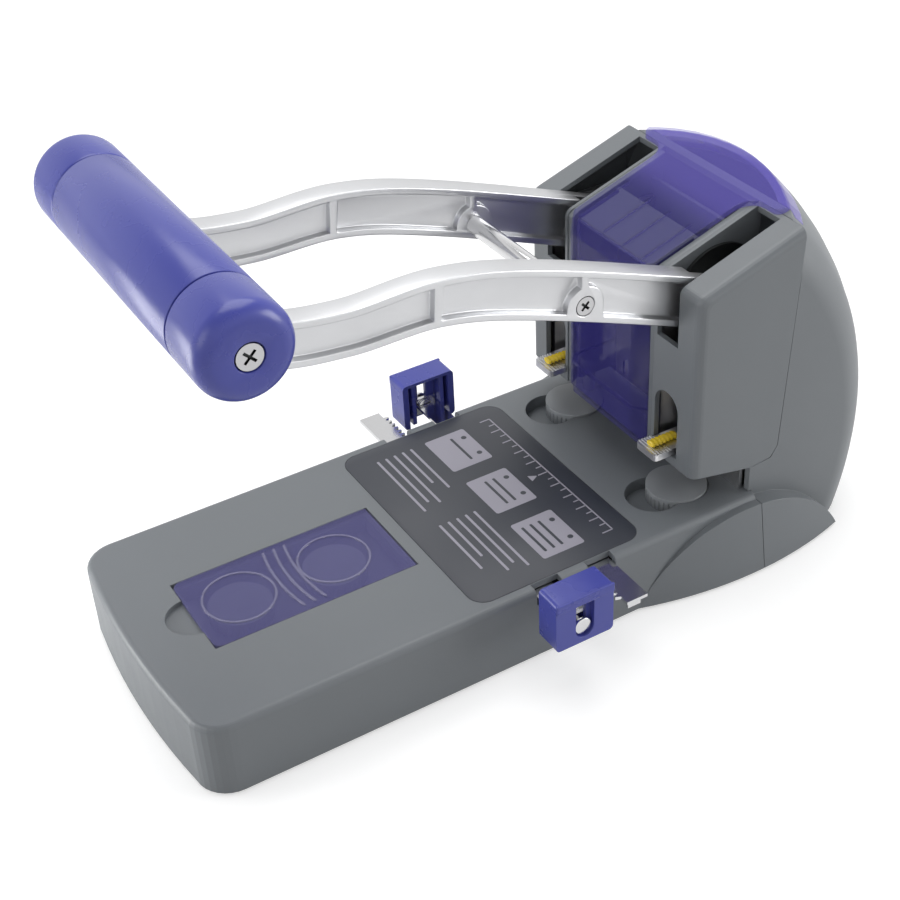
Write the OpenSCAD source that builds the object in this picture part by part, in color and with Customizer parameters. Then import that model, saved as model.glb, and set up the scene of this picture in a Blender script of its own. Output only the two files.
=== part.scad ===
// Heavy-duty desk punch for two filing holes, built as an assembly of named pieces.
// Millimetres, +Z up, the handle towards -Y, and X across the machine.
// Pieces are drawn about the centre of the cutting discs and moved to the middle of the footprint at the end.

/* [Punching] */
// Distance between the two filing holes
hole_spacing = 80; // [70:0.5:90]
// Diameter of a cutting pin
pin_d = 6; // [5:0.1:7]
// Pin axis behind the centre of its cutting disc, which lets the disc be turned to a fresh spot
pin_back = 8.5; // [7:0.1:9.5]
// From the pin axis to the edge of the sheet
hole_margin = 12; // [11:0.1:13]

/* [Base] */
// Width of the base
base_w = 132; // [120:1:144]
// Height of the base top above the desk
base_h = 37; // [34:0.5:40]
// Front corners of the base ahead of the cutting discs
base_front = 243; // [230:1:255]
// Extra reach of the bowed front edge at its middle
base_bow = 3.5; // [2:0.1:5]
// Radius of the front corners in plan
base_corner_r = 14.5; // [10:0.5:18]
// Rounding of the top edge
base_edge_r = 3; // [2:0.1:4]
// Wall of the moulded shells
wall = 3; // [2.5:0.1:3.5]
// Joint between the base shell and the back cover
base_rear = 24; // [23:0.5:26]
// Height of the rubber feet below the shell
foot_h = 1.5; // [1:0.1:2]
// Outward reach of the flared wings at the desk
wing_reach = 9.3; // [7:0.1:11]

/* [Storage lid] */
// Width of the lid
lid_w = 46; // [42:0.5:50]
// Front edge of the lid ahead of the discs
lid_front = 217; // [210:0.5:222]
// Rear edge of the lid ahead of the discs
lid_rear = 123.5; // [120:0.5:126]
// Thickness of the lid
lid_t = 2; // [1.6:0.1:2.4]
// Radius of the raised rings on the lid
ring_r = 16; // [14.5:0.1:17]
// Radius of the finger scallop ahead of the lid
scallop_r = 11.5; // [9:0.5:13]

/* [Cutting discs] */
// Diameter of a cutting disc
disc_d = 27.4; // [26:0.1:28]
// Thickness of a cutting disc
disc_t = 6.8; // [6:0.1:7.4]
// How far a disc stands above the base top
disc_proud = 0.8; // [0.4:0.1:1.2]
// Radius of the finger recess ahead of a disc
recess_r = 12.5; // [11:0.1:13.5]

/* [Label] */
// Width of the label plate
label_w = 121; // [110:1:122]
// Front edge of the label ahead of the discs
label_front = 117; // [114:0.5:120]
// Rear edge of the label ahead of the discs
label_rear = 33; // [31:0.5:36]
// Corner radius of the label
label_r = 8; // [5:0.5:12]

/* [Paper guide] */
// Middle of the guide ahead of the discs
guide_y = 71.5; // [70:0.5:73]
// Pitch radius of the guide pinion
pinion_r = 8; // [8:1:8]
// Teeth on the guide pinion
pinion_teeth = 16; // [16:1:16]
// Width of a guide rack behind its pitch line
rack_w = 11.5; // [10.5:0.1:12]
// Thickness of a guide rack
rack_t = 1.5; // [1.2:0.1:1.6]
// Reach of a rack's free tail from the middle
rack_tail = 89; // [86:0.5:91]
// Outer face of a paper stop from the middle
stop_out = 91; // [90:0.5:94]
// Thickness of a paper stop across the machine
stop_t = 12.5; // [12:0.1:13.5]
// Width of a paper stop
stop_w = 28; // [26:0.5:29]
// Height of a paper stop
stop_h = 25; // [24:0.5:27]
// Top of a raised paper stop above the desk
stop_top = 50.5; // [50:0.1:51]
// Travel of a paper stop from raised to lowered
stop_travel = 12; // [11:0.1:12]

/* [Head] */
// Width over the two towers
head_w = 124; // [120:1:126]
// Front face of the towers ahead of the discs
head_front = 9; // [8:0.1:10]
// Lower front edge of the towers above the desk
head_low = 56; // [55:0.1:57]
// Height of the sloping tower top at the disc centre line
head_top = 147.2; // [145:0.1:149]
// Slope of the tower top in degrees
head_slope = 17.8; // [16:0.1:19]
// Rounding of the tower edges
head_edge_r = 4; // [3:0.1:5]
// Wall of the towers
head_wall = 2.5; // [2:0.1:2.8]
// Slot bottom in the front face above the desk
slot_low = 116; // [114:0.5:117]
// Upper end of the slot behind the disc centre line
slot_rear = 41; // [40:0.1:42]

/* [Back cover] */
// Rearmost point behind the disc centre line
back_reach = 108.3; // [104:0.1:112]
// Height of the rearmost point
back_mid = 50; // [46:0.5:54]
// Radius of the back in side view
back_r = 166.7; // [160:0.1:174]
// Radius of the back in plan
back_plan_r = 95; // [90:0.5:110]
// Rounding between the back and the sides
back_edge_r = 10; // [7:0.5:12]

/* [Centre cover] */
// Half width of the cover between the towers
cover_hw = 28.5; // [27.5:0.1:28.6]
// Half width of the cover's front face
cover_front_hw = 22.5; // [20:0.1:24]
// Front face of the cover ahead of the discs
cover_front = 14; // [12.5:0.1:15.5]
// Half width of the cover's cross bar on top
cover_bar_hw = 47; // [45:0.5:49]
// Joint between the cover and its foot above the desk
cover_seam = 73.5; // [71:0.5:76]
// Lower edge of the cover's foot above the desk
cover_low = 53; // [52.5:0.1:54]
// Thickness of the clear mouldings
cover_t = 2.4; // [2:0.1:2.6]

/* [Lever] */
// Pivot behind the disc centre line
pivot_y = 21; // [20.5:0.1:21.5]
// Pivot above the desk
pivot_z = 127; // [126:0.1:128]
// Diameter of the pivot shaft
shaft_d = 10; // [9:0.1:11]
// Middle of an arm from the middle of the machine
arm_x = 41.2; // [40.8:0.1:41.4]
// Width of an arm casting
arm_w = 11; // [10:0.1:11.2]
// Depth of an arm at the handle end
arm_depth_front = 18.5; // [17:0.1:20]
// Depth of an arm at the pivot end
arm_depth_rear = 22.5; // [21:0.1:23]
// Thickness of the rims along an arm
arm_rim = 3; // [2.4:0.1:3.6]
// Depth of the panels sunk in an arm's faces
arm_panel = 3.4; // [2.5:0.1:4]
// Bend of the arms nearest the head, ahead of the discs and above the desk
bend_a = [70, 161.5];
// Bend of the arms at mid length
bend_b = [115, 174.2];
// Level stretch of the arms
bend_c = [156, 175.2];
// Rise of the arms into the handle
bend_d = [187, 182];
// Tie rod ahead of the discs
tie_y = 54.2; // [50:0.1:58]
// Tie rod above the desk
tie_z = 151.3; // [149:0.1:153]
// Diameter of the tie rod
tie_d = 8; // [7:0.1:9]

/* [Handle] */
// Handle axis ahead of the discs
handle_y = 207.1; // [203:0.1:211]
// Handle axis above the desk
handle_z = 201.8; // [198:0.1:206]
// Diameter of the handle
handle_d = 37.2; // [35:0.1:39]
// Length of the handle over its caps
handle_len = 158.8; // [152:0.1:166]
// Length of the handle's middle tube
tube_len = 106.4; // [104:0.1:110]
// Rounding of the cap ends
cap_round = 7; // [5:0.1:9]

/* [Punch mechanism] */
// Lift of a cutting pin per radian of lever
cam_r = 12.5; // [12.5:0.1:12.5]
// Lever turn still to go from this pose to the bottom of the stroke, in degrees
press_turn = 16; // [15:0.5:16]
// Lever turn back up to the top of the stroke, in degrees
lift_turn = 75; // [60:1:75]
// Drop from the pivot to the cam's contact in this pose
cam_drop = 20; // [19:0.1:21]
// Diameter of a punch holder
holder_d = 12; // [11.5:0.1:12.2]
// Wire diameter of a return spring
wire_d = 1.1; // [0.9:0.1:1.2]
// Turns in a return spring
spring_turns = 5; // [4:0.5:5]
// Width of a release tab
tab_w = 14; // [12:0.1:14.6]
// Reach of a release tab ahead of the discs
tab_reach = 18; // [16:0.5:20]

/* [Hidden] */
$fn = 48;

grey = [0.30, 0.32, 0.34];
blue = [0.26, 0.27, 0.62];
violet = [0.25, 0.20, 0.62, 0.6];
steel = [0.72, 0.73, 0.75];
alloy = [0.82, 0.83, 0.84];
dark = [0.15, 0.16, 0.19];

eps = 0.01;
gap = 0.3;
run_gap = 0.05;
seat_gap = 0.03;
hx = hole_spacing / 2;
hw = base_w / 2;
front_y = -(base_front + base_bow);
frame_y = -(front_y + back_reach) / 2;
top_in = base_h - wall;
shell_low = foot_h;

// Slope of the tower tops as a line in side view
slope_t = tan(head_slope);
slope_c = cos(head_slope);
function top_z(y) = head_top + slope_t * y;

// Rounding helpers for outlines
function arc(c, r, a0, a1, n) = [for (i = [0:n]) c + r * [cos(a0 + (a1 - a0) * i / n),
    sin(a0 + (a1 - a0) * i / n)]];

// A closed skin through outlines of equal length, in order along the loft
module skin(levels) {
    n = len(levels[0]);
    m = len(levels);
    points = [for (level = levels) for (p = level) p];
    sides = [for (k = [0:m - 2]) for (i = [0:n - 1]) for (half = [0, 1])
        half == 0 ? [k * n + i, (k + 1) * n + i, (k + 1) * n + (i + 1) % n]
                  : [k * n + i, (k + 1) * n + (i + 1) % n, k * n + (i + 1) % n]];
    low = [[for (i = [0:n - 1]) i]];
    high = [[for (i = [n - 1:-1:0]) (m - 1) * n + i]];
    polyhedron(points, concat(sides, low, high), convexity = 6);
}

// Side-view outlines drawn in Y and Z, thick along X from x0
module slab(x0, w) {
    translate([x0, 0, 0]) rotate([90, 0, 90]) linear_extrude(w, convexity = 6) children();
}

// A rod along X
module rod(x0, x1, y, z, r, n = 48) {
    translate([x0, y, z]) rotate([0, 90, 0]) cylinder(h = x1 - x0, r = r, $fn = n);
}

// A box given by its low and high corners
module box(a, b) {
    translate(a) cube(b - a);
}

// The same piece on the right for 1 and on the left for -1
module side(s) {
    mirror([s < 0 ? 1 : 0, 0, 0]) children();
}

// Base outline drawn in by d
function base_outline(d) = let (r = base_corner_r - d, yc = -base_front + base_corner_r,
    xc = hw - base_corner_r)
    concat([[hw - d, base_rear], [-(hw - d), base_rear]],
        arc([-xc, yc], r, 180, 270, 8),
        [for (i = [1:9]) let (u = -1 + i / 5) [xc * u, -base_front + d - base_bow * (1 - u * u)]],
        arc([xc, yc], r, 270, 360, 8));
function base_level(d, z) = [for (p = base_outline(d)) [p[0], p[1], z]];

// Wings flare outwards to the desk below an arched ridge
wing_plan_r = 190;
wing_flare = 6.5;
wing_mid = 20;
ridge_r = 63;
module wings(y0, y1) {
    for (s = [1, -1]) side(s) intersection() {
        translate([-(wing_plan_r - hw - wing_reach), wing_mid, shell_low])
            cylinder(h = 40, r1 = wing_plan_r, r2 = wing_plan_r - wing_flare, $fn = 180);
        rod(0, 100, wing_mid - 3, -28, ridge_r, 96);
        box([hhw - 4, y0, shell_low], [100, y1, 40]);
    }
}

// Cutting disc seats
disc_r = disc_d / 2;
disc_z = base_h + disc_proud - disc_t;
cup_r = disc_r + 0.5;
spigot_r = 3;
spigot_h = 2.6;
cup_floor = 2;

// Storage well
lid_hw = lid_w / 2;
well_floor = base_h - lid_t - gap - disc_t - 1;
well_ledge = 2;
lid_axis_y = -lid_rear - lid_t / 2;
lid_axis_z = base_h - lid_t / 2;
spare_y = [-(lid_front + lid_rear) / 2 - 22.2 - 3.5, -(lid_front + lid_rear) / 2 + 22.2 - 3.5];
lid_pin_r = 0.6;

// Paper guide
mod = 2 * pinion_r / pinion_teeth;
rack_pitch = PI * mod;
rack_top = top_in - 0.5;
rack_low = rack_top - rack_t;
rack_in = pinion_r;
rack_out = rack_in + rack_w;
rail_w = 3;
tray_low = rack_low - 4.2;
tray_floor = tray_low + 1.6;
notch_in = hw - 5;
stop_mid = (rack_in - mod + rack_out) / 2;
stop_in = stop_out - stop_t;
web_t = 2;
web_in = stop_out - 5;
bracket_t = 1.5;
rivet_z = stop_top - stop_h + 7;
rivet_r = 2;

// Head
hhw = head_w / 2;
tower_in = 32.2;
inner_wall = 1.8;
slot_in = tower_in + inner_wall;
slot_out = arm_x + arm_w / 2 + 1.3;
pin_y = pin_back;
stop_y = pin_y + hole_margin;
sole_z = head_low;
sole_t = 1.4;
guide_t = 3;
guide_z = sole_z + sole_t + 0.2;
upper_z = guide_z + 28.4;
frame_t = 2.6;
frame_in = 29.2;
frame_out = 50.2;
frame_rear = 36;
frame_column = 23.5;
plate_t = 2.5;
plate_low = foot_h + 0.6;

// Lever and cam
rad = 180 / PI;
arm_in = arm_x - arm_w / 2;
arm_out = arm_x + arm_w / 2;
cam_out = arm_in + 5.2;
contact_z = pivot_z - cam_drop;
shaft_r = shaft_d / 2;
hub_r = shaft_r + 3;
friction_r = 22;
spring_gap = 0.65;
pin_tip = base_h + disc_proud + 0.2 + cam_r * press_turn / rad;
holder_top = contact_z - 0.15;
seat_t = 1.5;
seat_top = holder_top - 5;
seat_r = holder_d / 2 + spring_gap + wire_d + 0.05;
follower_rear = 2.6;
holder_low = guide_z + guide_t + 3.6 + cam_r * press_turn / rad + 0.3;
spring_low = upper_z + guide_t;
spring_end = 0.15;
spring_high = seat_top - seat_t;

// Lever arm path from the pivot to the handle
knots = [[pivot_y, pivot_z - 1.2], [-bend_a[0], bend_a[1]], [-bend_b[0], bend_b[1]], [-bend_c[0], bend_c[1]],
    [-bend_d[0], bend_d[1]], [-handle_y, handle_z]];
function knot(i) = i < 0 ? 2 * knots[0] - knots[1] : i > 5 ? 2 * knots[5] - knots[4] : knots[i];
function path(t) = let (i = min(floor(t), 4), u = t - i, a = knot(i - 1), b = knot(i), c = knot(i + 1),
    d = knot(i + 2))
    0.5 * (2 * b + (c - a) * u + (2 * a - 5 * b + 4 * c - d) * u * u + (3 * b - a - 3 * c + d) * u * u * u);
function path_dir(t) = let (d = path(min(t + 0.01, 5)) - path(max(t - 0.01, 0))) d / norm(d);
function half_depth(t) = (arm_depth_rear + (arm_depth_front - arm_depth_rear) * min(t / 3, 1)) / 2;
function band(t0, t1, d, n) = let (ts = [for (i = [0:n]) t0 + (t1 - t0) * i / n])
    concat([for (t = ts) path(t) + (half_depth(t) - d) * [path_dir(t)[1], -path_dir(t)[0]]],
        [for (i = [n:-1:0]) let (t = ts[i]) path(t) - (half_depth(t) - d) * [path_dir(t)[1],
            -path_dir(t)[0]]]);
function path_at(y, t = 0) = t > 5 || path(t)[0] < y ? t : path_at(y, t + 0.01);
tie_t = path_at(-tie_y);
rib_t = path_at(-119);

// Cam flank that lifts a flat follower evenly with the turn of the lever
function cam_point(q) = let (h = cam_drop + cam_r * q / rad)
    [-cam_r * cos(q) - h * sin(q), cam_r * sin(q) - h * cos(q)];

// Pinion tooth flank and rack tooth
base_r = pinion_r * cos(20);
function flank(r) = let (q = acos(base_r / r)) tan(q) * rad - q;
function tooth_half(r) = 90 / pinion_teeth + flank(pinion_r) - flank(max(r, base_r)) - 0.08 / r * rad;
pinion_radii = [pinion_r - 1.25 * mod, base_r + 0.02, pinion_r - 0.2 * mod, pinion_r + 0.45 * mod,
    pinion_r + mod];
pinion_outline = [for (k = [0:pinion_teeth - 1]) let (a = k * 360 / pinion_teeth)
    each concat([for (i = [0:4]) pinion_radii[i] * [cos(a - tooth_half(pinion_radii[i])),
        sin(a - tooth_half(pinion_radii[i]))]],
        [for (i = [4:-1:0]) pinion_radii[i] * [cos(a + tooth_half(pinion_radii[i])),
            sin(a + tooth_half(pinion_radii[i]))]])];

module base_shell() {
    color(grey) difference() {
        union() {
            difference() {
                union() {
                    skin(concat([base_level(0, shell_low)],
                        [for (i = [0:5]) let (a = 90 * i / 5)
                            base_level(base_edge_r * (1 - cos(a)),
                                base_h - base_edge_r + base_edge_r * sin(a))]));
                    wings(-60, base_rear);
                }
                translate([0, 0, -1]) linear_extrude(top_in + 1) polygon(base_outline(wall));
                box([-hw + wall, base_rear - wall - 5, -1], [hw - wall, base_rear + 1, top_in]);
            }
            for (s = [1, -1]) {
                translate([s * hx, 0, disc_z - cup_floor])
                    cylinder(h = top_in - disc_z + cup_floor + 1, r = cup_r + 2);
                translate([s * hx, -13, disc_z - cup_floor])
                    cylinder(h = top_in - disc_z + cup_floor + 1, r = recess_r + 2);
                for (y = [-base_front + 28, -guide_y + 38, base_rear - 15])
                    translate([s * (hw - 12), y, plate_low + plate_t])
                        cylinder(h = top_in - plate_low - plate_t + 1, r = 4.5);
                translate([s * 50, -guide_y, rack_low]) cylinder(h = top_in - rack_low + 1, r = 3.5);
                box([-58, -guide_y + s * (rack_out + 0.3 + 1.1) - 1.1, rack_low],
                    [58, -guide_y + s * (rack_out + 1.4) + 1.1, top_in + 1]);
            }
            box([-lid_hw - 2, -lid_front - 3, well_floor - 2], [lid_hw + 2, -lid_rear + 3, top_in + 1]);
            translate([0, -lid_front, base_h - 6.5]) cylinder(h = 4, r = scallop_r + 2);
        }
        for (s = [1, -1]) {
            translate([s * hx, 0, disc_z]) difference() {
                union() {
                    cylinder(h = 20, r = cup_r);
                    translate([0, -13, 0]) cylinder(h = 20, r = recess_r);
                }
                translate([0, 0, -1]) cylinder(h = spigot_h + 1, r = spigot_r);
            }
            for (y = [-base_front + 28, -guide_y + 38, base_rear - 15])
                translate([s * (hw - 12), y, 0]) cylinder(h = 22, r = 1.5 + seat_gap);
            translate([s * 50, -guide_y, 0]) cylinder(h = base_h - 1.2, r = 1.2 + seat_gap);
            for (e = [1, -1]) let (y0 = e > 0 ? rack_in - mod - 0.4 : -rack_out - 0.4)
                side(s) box([notch_in, -guide_y + y0, rack_low - 2.7],
                    [hw + 1, -guide_y + y0 + rack_w + mod + 0.8, base_h + 1]);
            for (e = [1, -1]) let (y0 = e > 0 ? rack_in - mod - 0.4 : -rack_out - 0.4)
                side(s) box([hw - wall - 4, -guide_y + y0, rack_low - 2.7],
                    [notch_in + 1, -guide_y + y0 + rack_w + mod + 0.8, rack_top + 0.5]);
        }
        lid_seat();
        translate([0, 0, base_h - 0.5]) linear_extrude(2) label_outline(0.15);
    }
}

// Opening for the lid, with a ledge all round and a well below
module lid_seat() {
    box([-lid_hw - gap, -lid_front - gap, base_h - lid_t - gap], [lid_hw + gap, -lid_rear + gap, base_h + 1]);
    box([-lid_hw + well_ledge, -lid_front + well_ledge, well_floor],
        [lid_hw - well_ledge, -lid_rear - well_ledge, base_h + 1]);
    translate([0, -lid_front, base_h - lid_t - gap]) cylinder(h = 10, r = scallop_r);
    rod(-lid_hw - 1.6, lid_hw + 1.6, lid_axis_y, lid_axis_z, lid_pin_r + run_gap, 24);
}

// Plan of the label, grown by d
module label_outline(d) {
    w = label_w / 2 + d;
    polygon(concat(arc([w - label_r, -label_rear + d - label_r], label_r, 0, 90, 8),
        arc([-w + label_r, -label_rear + d - label_r], label_r, 90, 180, 8),
        arc([-w + label_r, -label_front - d + label_r], label_r, 180, 270, 8),
        arc([w - label_r, -label_front - d + label_r], label_r, 270, 360, 8)));
}

module label_plate() {
    color(dark) translate([0, 0, base_h - 0.5]) linear_extrude(0.55) label_outline(0);
}

module base_plate() {
    color(steel) difference() {
        box([-58, -base_front + 8, plate_low], [58, 72, plate_low + plate_t]);
        for (s = [1, -1]) {
            for (y = [-base_front + 28, -guide_y + 38, base_rear - 15])
                translate([s * (hw - 12), y, 0]) cylinder(h = 20, r = 1.5 + seat_gap);
            translate([s * 40, 62, 0]) cylinder(h = 20, r = 1.5 + seat_gap);
        }
    }
}

module rubber_feet() {
    color(dark) for (s = [1, -1]) for (y = [-base_front + 16, -110, 50])
        translate([s * 46, y, 0]) cylinder(h = plate_low, r = 7);
}

module base_screws() {
    color(steel) for (s = [1, -1]) {
        for (y = [-base_front + 28, -guide_y + 38, base_rear - 15]) translate([s * (hw - 12), y, 0])
            base_screw();
        translate([s * 40, 62, 0]) base_screw();
    }
}

// One base screw, its head under the steel plate
module base_screw() {
    translate([0, 0, plate_low - 1.3]) cylinder(h = 1.3, r = 3);
    translate([0, 0, plate_low - eps]) cylinder(h = 19, r = 1.5);
}

module storage_lid() {
    color(violet) difference() {
        union() {
            box([-lid_hw + 4, -lid_front, base_h - lid_t], [lid_hw - 4, lid_axis_y, base_h]);
            box([-lid_hw, -lid_front + 4, base_h - lid_t], [lid_hw, lid_axis_y, base_h]);
            for (s = [1, -1]) translate([s * (lid_hw - 4), -lid_front + 4, base_h - lid_t])
                cylinder(h = lid_t, r = 4);
            rod(-lid_hw, lid_hw, lid_axis_y, lid_axis_z, lid_t / 2);
            rod(-lid_hw - 1.4, lid_hw + 1.4, lid_axis_y, lid_axis_z, lid_pin_r, 24);
            for (y = spare_y) translate([0, y, base_h - eps]) difference() {
                cylinder(h = 0.5, r = ring_r);
                translate([0, 0, -1]) cylinder(h = 3, r = ring_r - 1);
            }
            for (i = [-1, 0, 1]) intersection() {
                translate([0, spare_y[1] + 60 + 5 * i, base_h - eps]) difference() {
                    cylinder(h = 0.5, r = 82, $fn = 96);
                    translate([0, 0, -1]) cylinder(h = 3, r = 80.8, $fn = 96);
                }
                box([-lid_hw + 3, spare_y[0] + 10, base_h - 1], [lid_hw - 3, spare_y[1] - 10, base_h + 1]);
            }
        }
    }
}

module spare_discs() {
    color(grey) for (y = spare_y) translate([0, y, well_floor]) disc_body();
}

// A cutting disc standing on its lower face, with a milled edge and a blind seat
module disc_body() {
    difference() {
        cylinder(h = disc_t, r = disc_r, $fn = 72);
        translate([0, 0, -1]) cylinder(h = spigot_h + 1.3, r = spigot_r + run_gap);
        for (i = [0:35]) rotate([0, 0, i * 10]) translate([disc_r, 0, -1])
            cylinder(h = disc_t - 1, r = 0.45, $fn = 4);
    }
}

module cutting_disc_left() { color(grey) translate([-hx, 0, disc_z]) disc_body(); }
module cutting_disc_right() { color(grey) translate([hx, 0, disc_z]) disc_body(); }

module rack_tray() {
    color(dark) difference() {
        union() {
            box([-58, -guide_y - rack_out - 2.4, tray_low], [58, -guide_y + rack_out + 2.4, tray_floor]);
            for (s = [1, -1]) {
                box([-58, -guide_y + s * (rack_out - 0.35) - 2.75, tray_low],
                    [58, -guide_y + s * (rack_out - 0.35) + 2.75, rack_low]);
                translate([s * 50, -guide_y, tray_low]) cylinder(h = rack_low - tray_low, r = 4);
            }
            translate([0, -guide_y, tray_low]) cylinder(h = rack_low - tray_low, r = 4.5);
        }
        for (s = [1, -1]) translate([s * 50, -guide_y, 0]) cylinder(h = 60, r = 1.2 + seat_gap);
        translate([0, -guide_y, 0]) cylinder(h = 60, r = 2 + seat_gap);
    }
}

module tray_screws() {
    color(steel) for (s = [1, -1]) translate([s * 50, -guide_y, 0]) {
        translate([0, 0, tray_low - 1.4]) cylinder(h = 1.4, r = 2.4);
        translate([0, 0, tray_low - eps]) cylinder(h = base_h - 1.6 - tray_low, r = 1.2);
    }
}

// One rack with its stop on the right, its teeth facing the pinion behind it
module rack_body() {
    tip = 0.42 * mod - 0.08;
    root = 1.24 * mod - 0.08;
    count = 35;
    first = -27;
    teeth = [for (k = [0:count - 1]) let (x = (first + k + 0.5) * rack_pitch)
        each [[x - root, -rack_in - 1.25 * mod], [x - tip, -rack_in + mod], [x + tip, -rack_in + mod],
            [x + root, -rack_in - 1.25 * mod]]];
    translate([0, -guide_y, 0]) {
        translate([0, 0, rack_low]) linear_extrude(rack_t, convexity = 8) polygon(concat(
            [[-rack_tail, -rack_out], [web_in - bracket_t + eps - gap, -rack_out],
                [web_in - bracket_t + eps - gap, -rack_in - 1.25 * mod]],
            [for (i = [len(teeth) - 1:-1:0]) teeth[i]], [[-rack_tail, -rack_in - 1.25 * mod]]));
        box([-rack_tail, -rack_out + rail_w + 0.6, rack_low - 1.8],
            [-rack_tail + 1.2, -rack_in - 1.6 * mod, rack_low + eps]);
        box([web_in - bracket_t - gap, -rack_out, rivet_z - 5],
            [web_in - gap, -rack_in - 1.25 * mod, rivet_z + 4]);
    }
}

// The rack with room for its rivet
module drilled_rack() {
    difference() {
        rack_body();
        rod(web_in - bracket_t - gap - 1.6, 200, -guide_y - stop_mid, rivet_z, rivet_r + seat_gap, 24);
        rod(web_in - bracket_t - gap - 1.6, web_in - bracket_t - gap, -guide_y - stop_mid, rivet_z, 3.8, 32);
    }
}

// The rear rack is the front one turned half a turn about the pinion
module half_turn() {
    translate([0, -guide_y, 0]) rotate([0, 0, 180]) translate([0, guide_y, 0]) children();
}

module rack_front() { color(steel) drilled_rack(); }
module rack_rear() { color(steel) half_turn() drilled_rack(); }

module rack_pinion() {
    color(steel) translate([0, -guide_y, rack_low + 0.05]) linear_extrude(rack_t - 0.1, convexity = 8)
        difference() {
        polygon(pinion_outline);
        circle(r = 2 + run_gap);
    }
}

module pinion_pin() {
    color(steel) translate([0, -guide_y, 0]) {
        translate([0, 0, tray_low - 1]) cylinder(h = 1, r = 3);
        translate([0, 0, tray_low - eps]) cylinder(h = rack_top + 0.3 - tray_low, r = 2);
    }
}

// One paper stop on the right, with its web slot, outer recess and inner guide ribs
module stop_body() {
    low = stop_top - stop_h;
    hwid = stop_w / 2;
    stop_roof = 1.5;
    translate([0, -guide_y - stop_mid, 0]) difference() {
        union() {
            difference() {
                slab(stop_in, stop_t) polygon(concat(arc([hwid - 2, low + 2], 2, 270, 360, 4),
                    arc([hwid - 2, stop_top - 2], 2, 0, 90, 4),
                    arc([-hwid + 2, stop_top - 2], 2, 90, 180, 4),
                        arc([-hwid + 2, low + 2], 2, 180, 270, 4)));
                box([stop_in - 1, -hwid + 3, low - 1], [web_in, hwid - 3, stop_top - stop_roof]);
            }
            for (s = [1, -1]) box([stop_in + 1, s * (rack_w / 2 + mod + 1) - 1, low + 1],
                [web_in + 1, s * (rack_w / 2 + mod + 1) + 1, stop_top - 2]);
        }
        box([web_in - 1, -rivet_r - 0.3, rivet_z], [stop_out + 1, rivet_r + 0.3, rivet_z + stop_travel]);
        for (z = [rivet_z, rivet_z + stop_travel]) rod(web_in - 1, stop_out + 1, 0, z, rivet_r + 0.3, 24);
        box([web_in + web_t, -4.5, rivet_z], [stop_out + 1, 4.5, stop_top - stop_roof]);
        rod(web_in + web_t, stop_out + 1, 0, rivet_z, 4.5, 32);
    }
}

module paper_stop_right() { color(blue) stop_body(); }
module paper_stop_left() { color(blue) half_turn() stop_body(); }

// The rivet that holds a stop to its rack
module rivet_body() {
    translate([0, -guide_y - stop_mid, 0]) {
        rod(web_in - bracket_t - gap - 1.2, web_in - bracket_t - gap, 0, rivet_z, 3.4, 32);
        rod(web_in - bracket_t - gap - eps, web_in + web_t + gap + eps, 0, rivet_z, rivet_r, 24);
        rod(web_in + web_t + gap, web_in + web_t + gap + 1.6, 0, rivet_z, 4, 32);
    }
}

module stop_rivet_right() { color(steel) rivet_body(); }
module stop_rivet_left() { color(steel) half_turn() rivet_body(); }

// Side view of a tower drawn in by d at its front and top edges
function seam_y(z) = 37.4 + (z - 56.3) * 0.0575;
function tower_outline(d) = let (yf = -head_front + d, r = head_edge_r,
    c = [yf + r, top_z(yf + r) - (d + r) / slope_c])
    concat([[yf, head_low], [23, head_low - 6], [34, head_low - 4.8], [seam_y(56.3), head_low + 0.3],
        [seam_y(160), top_z(seam_y(160)) - d / slope_c]], arc(c, r, 90 + head_slope, 180, 5));
function tower_level(d, x) = [for (p = tower_outline(d)) [x, p[0], p[1]]];

module tower() {
    skin(concat([tower_level(0, tower_in)], [for (i = [0:5]) let (a = 90 * i / 5)
        tower_level(head_edge_r * (1 - cos(a)), hhw - head_edge_r + head_edge_r * sin(a))]));
}

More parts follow.
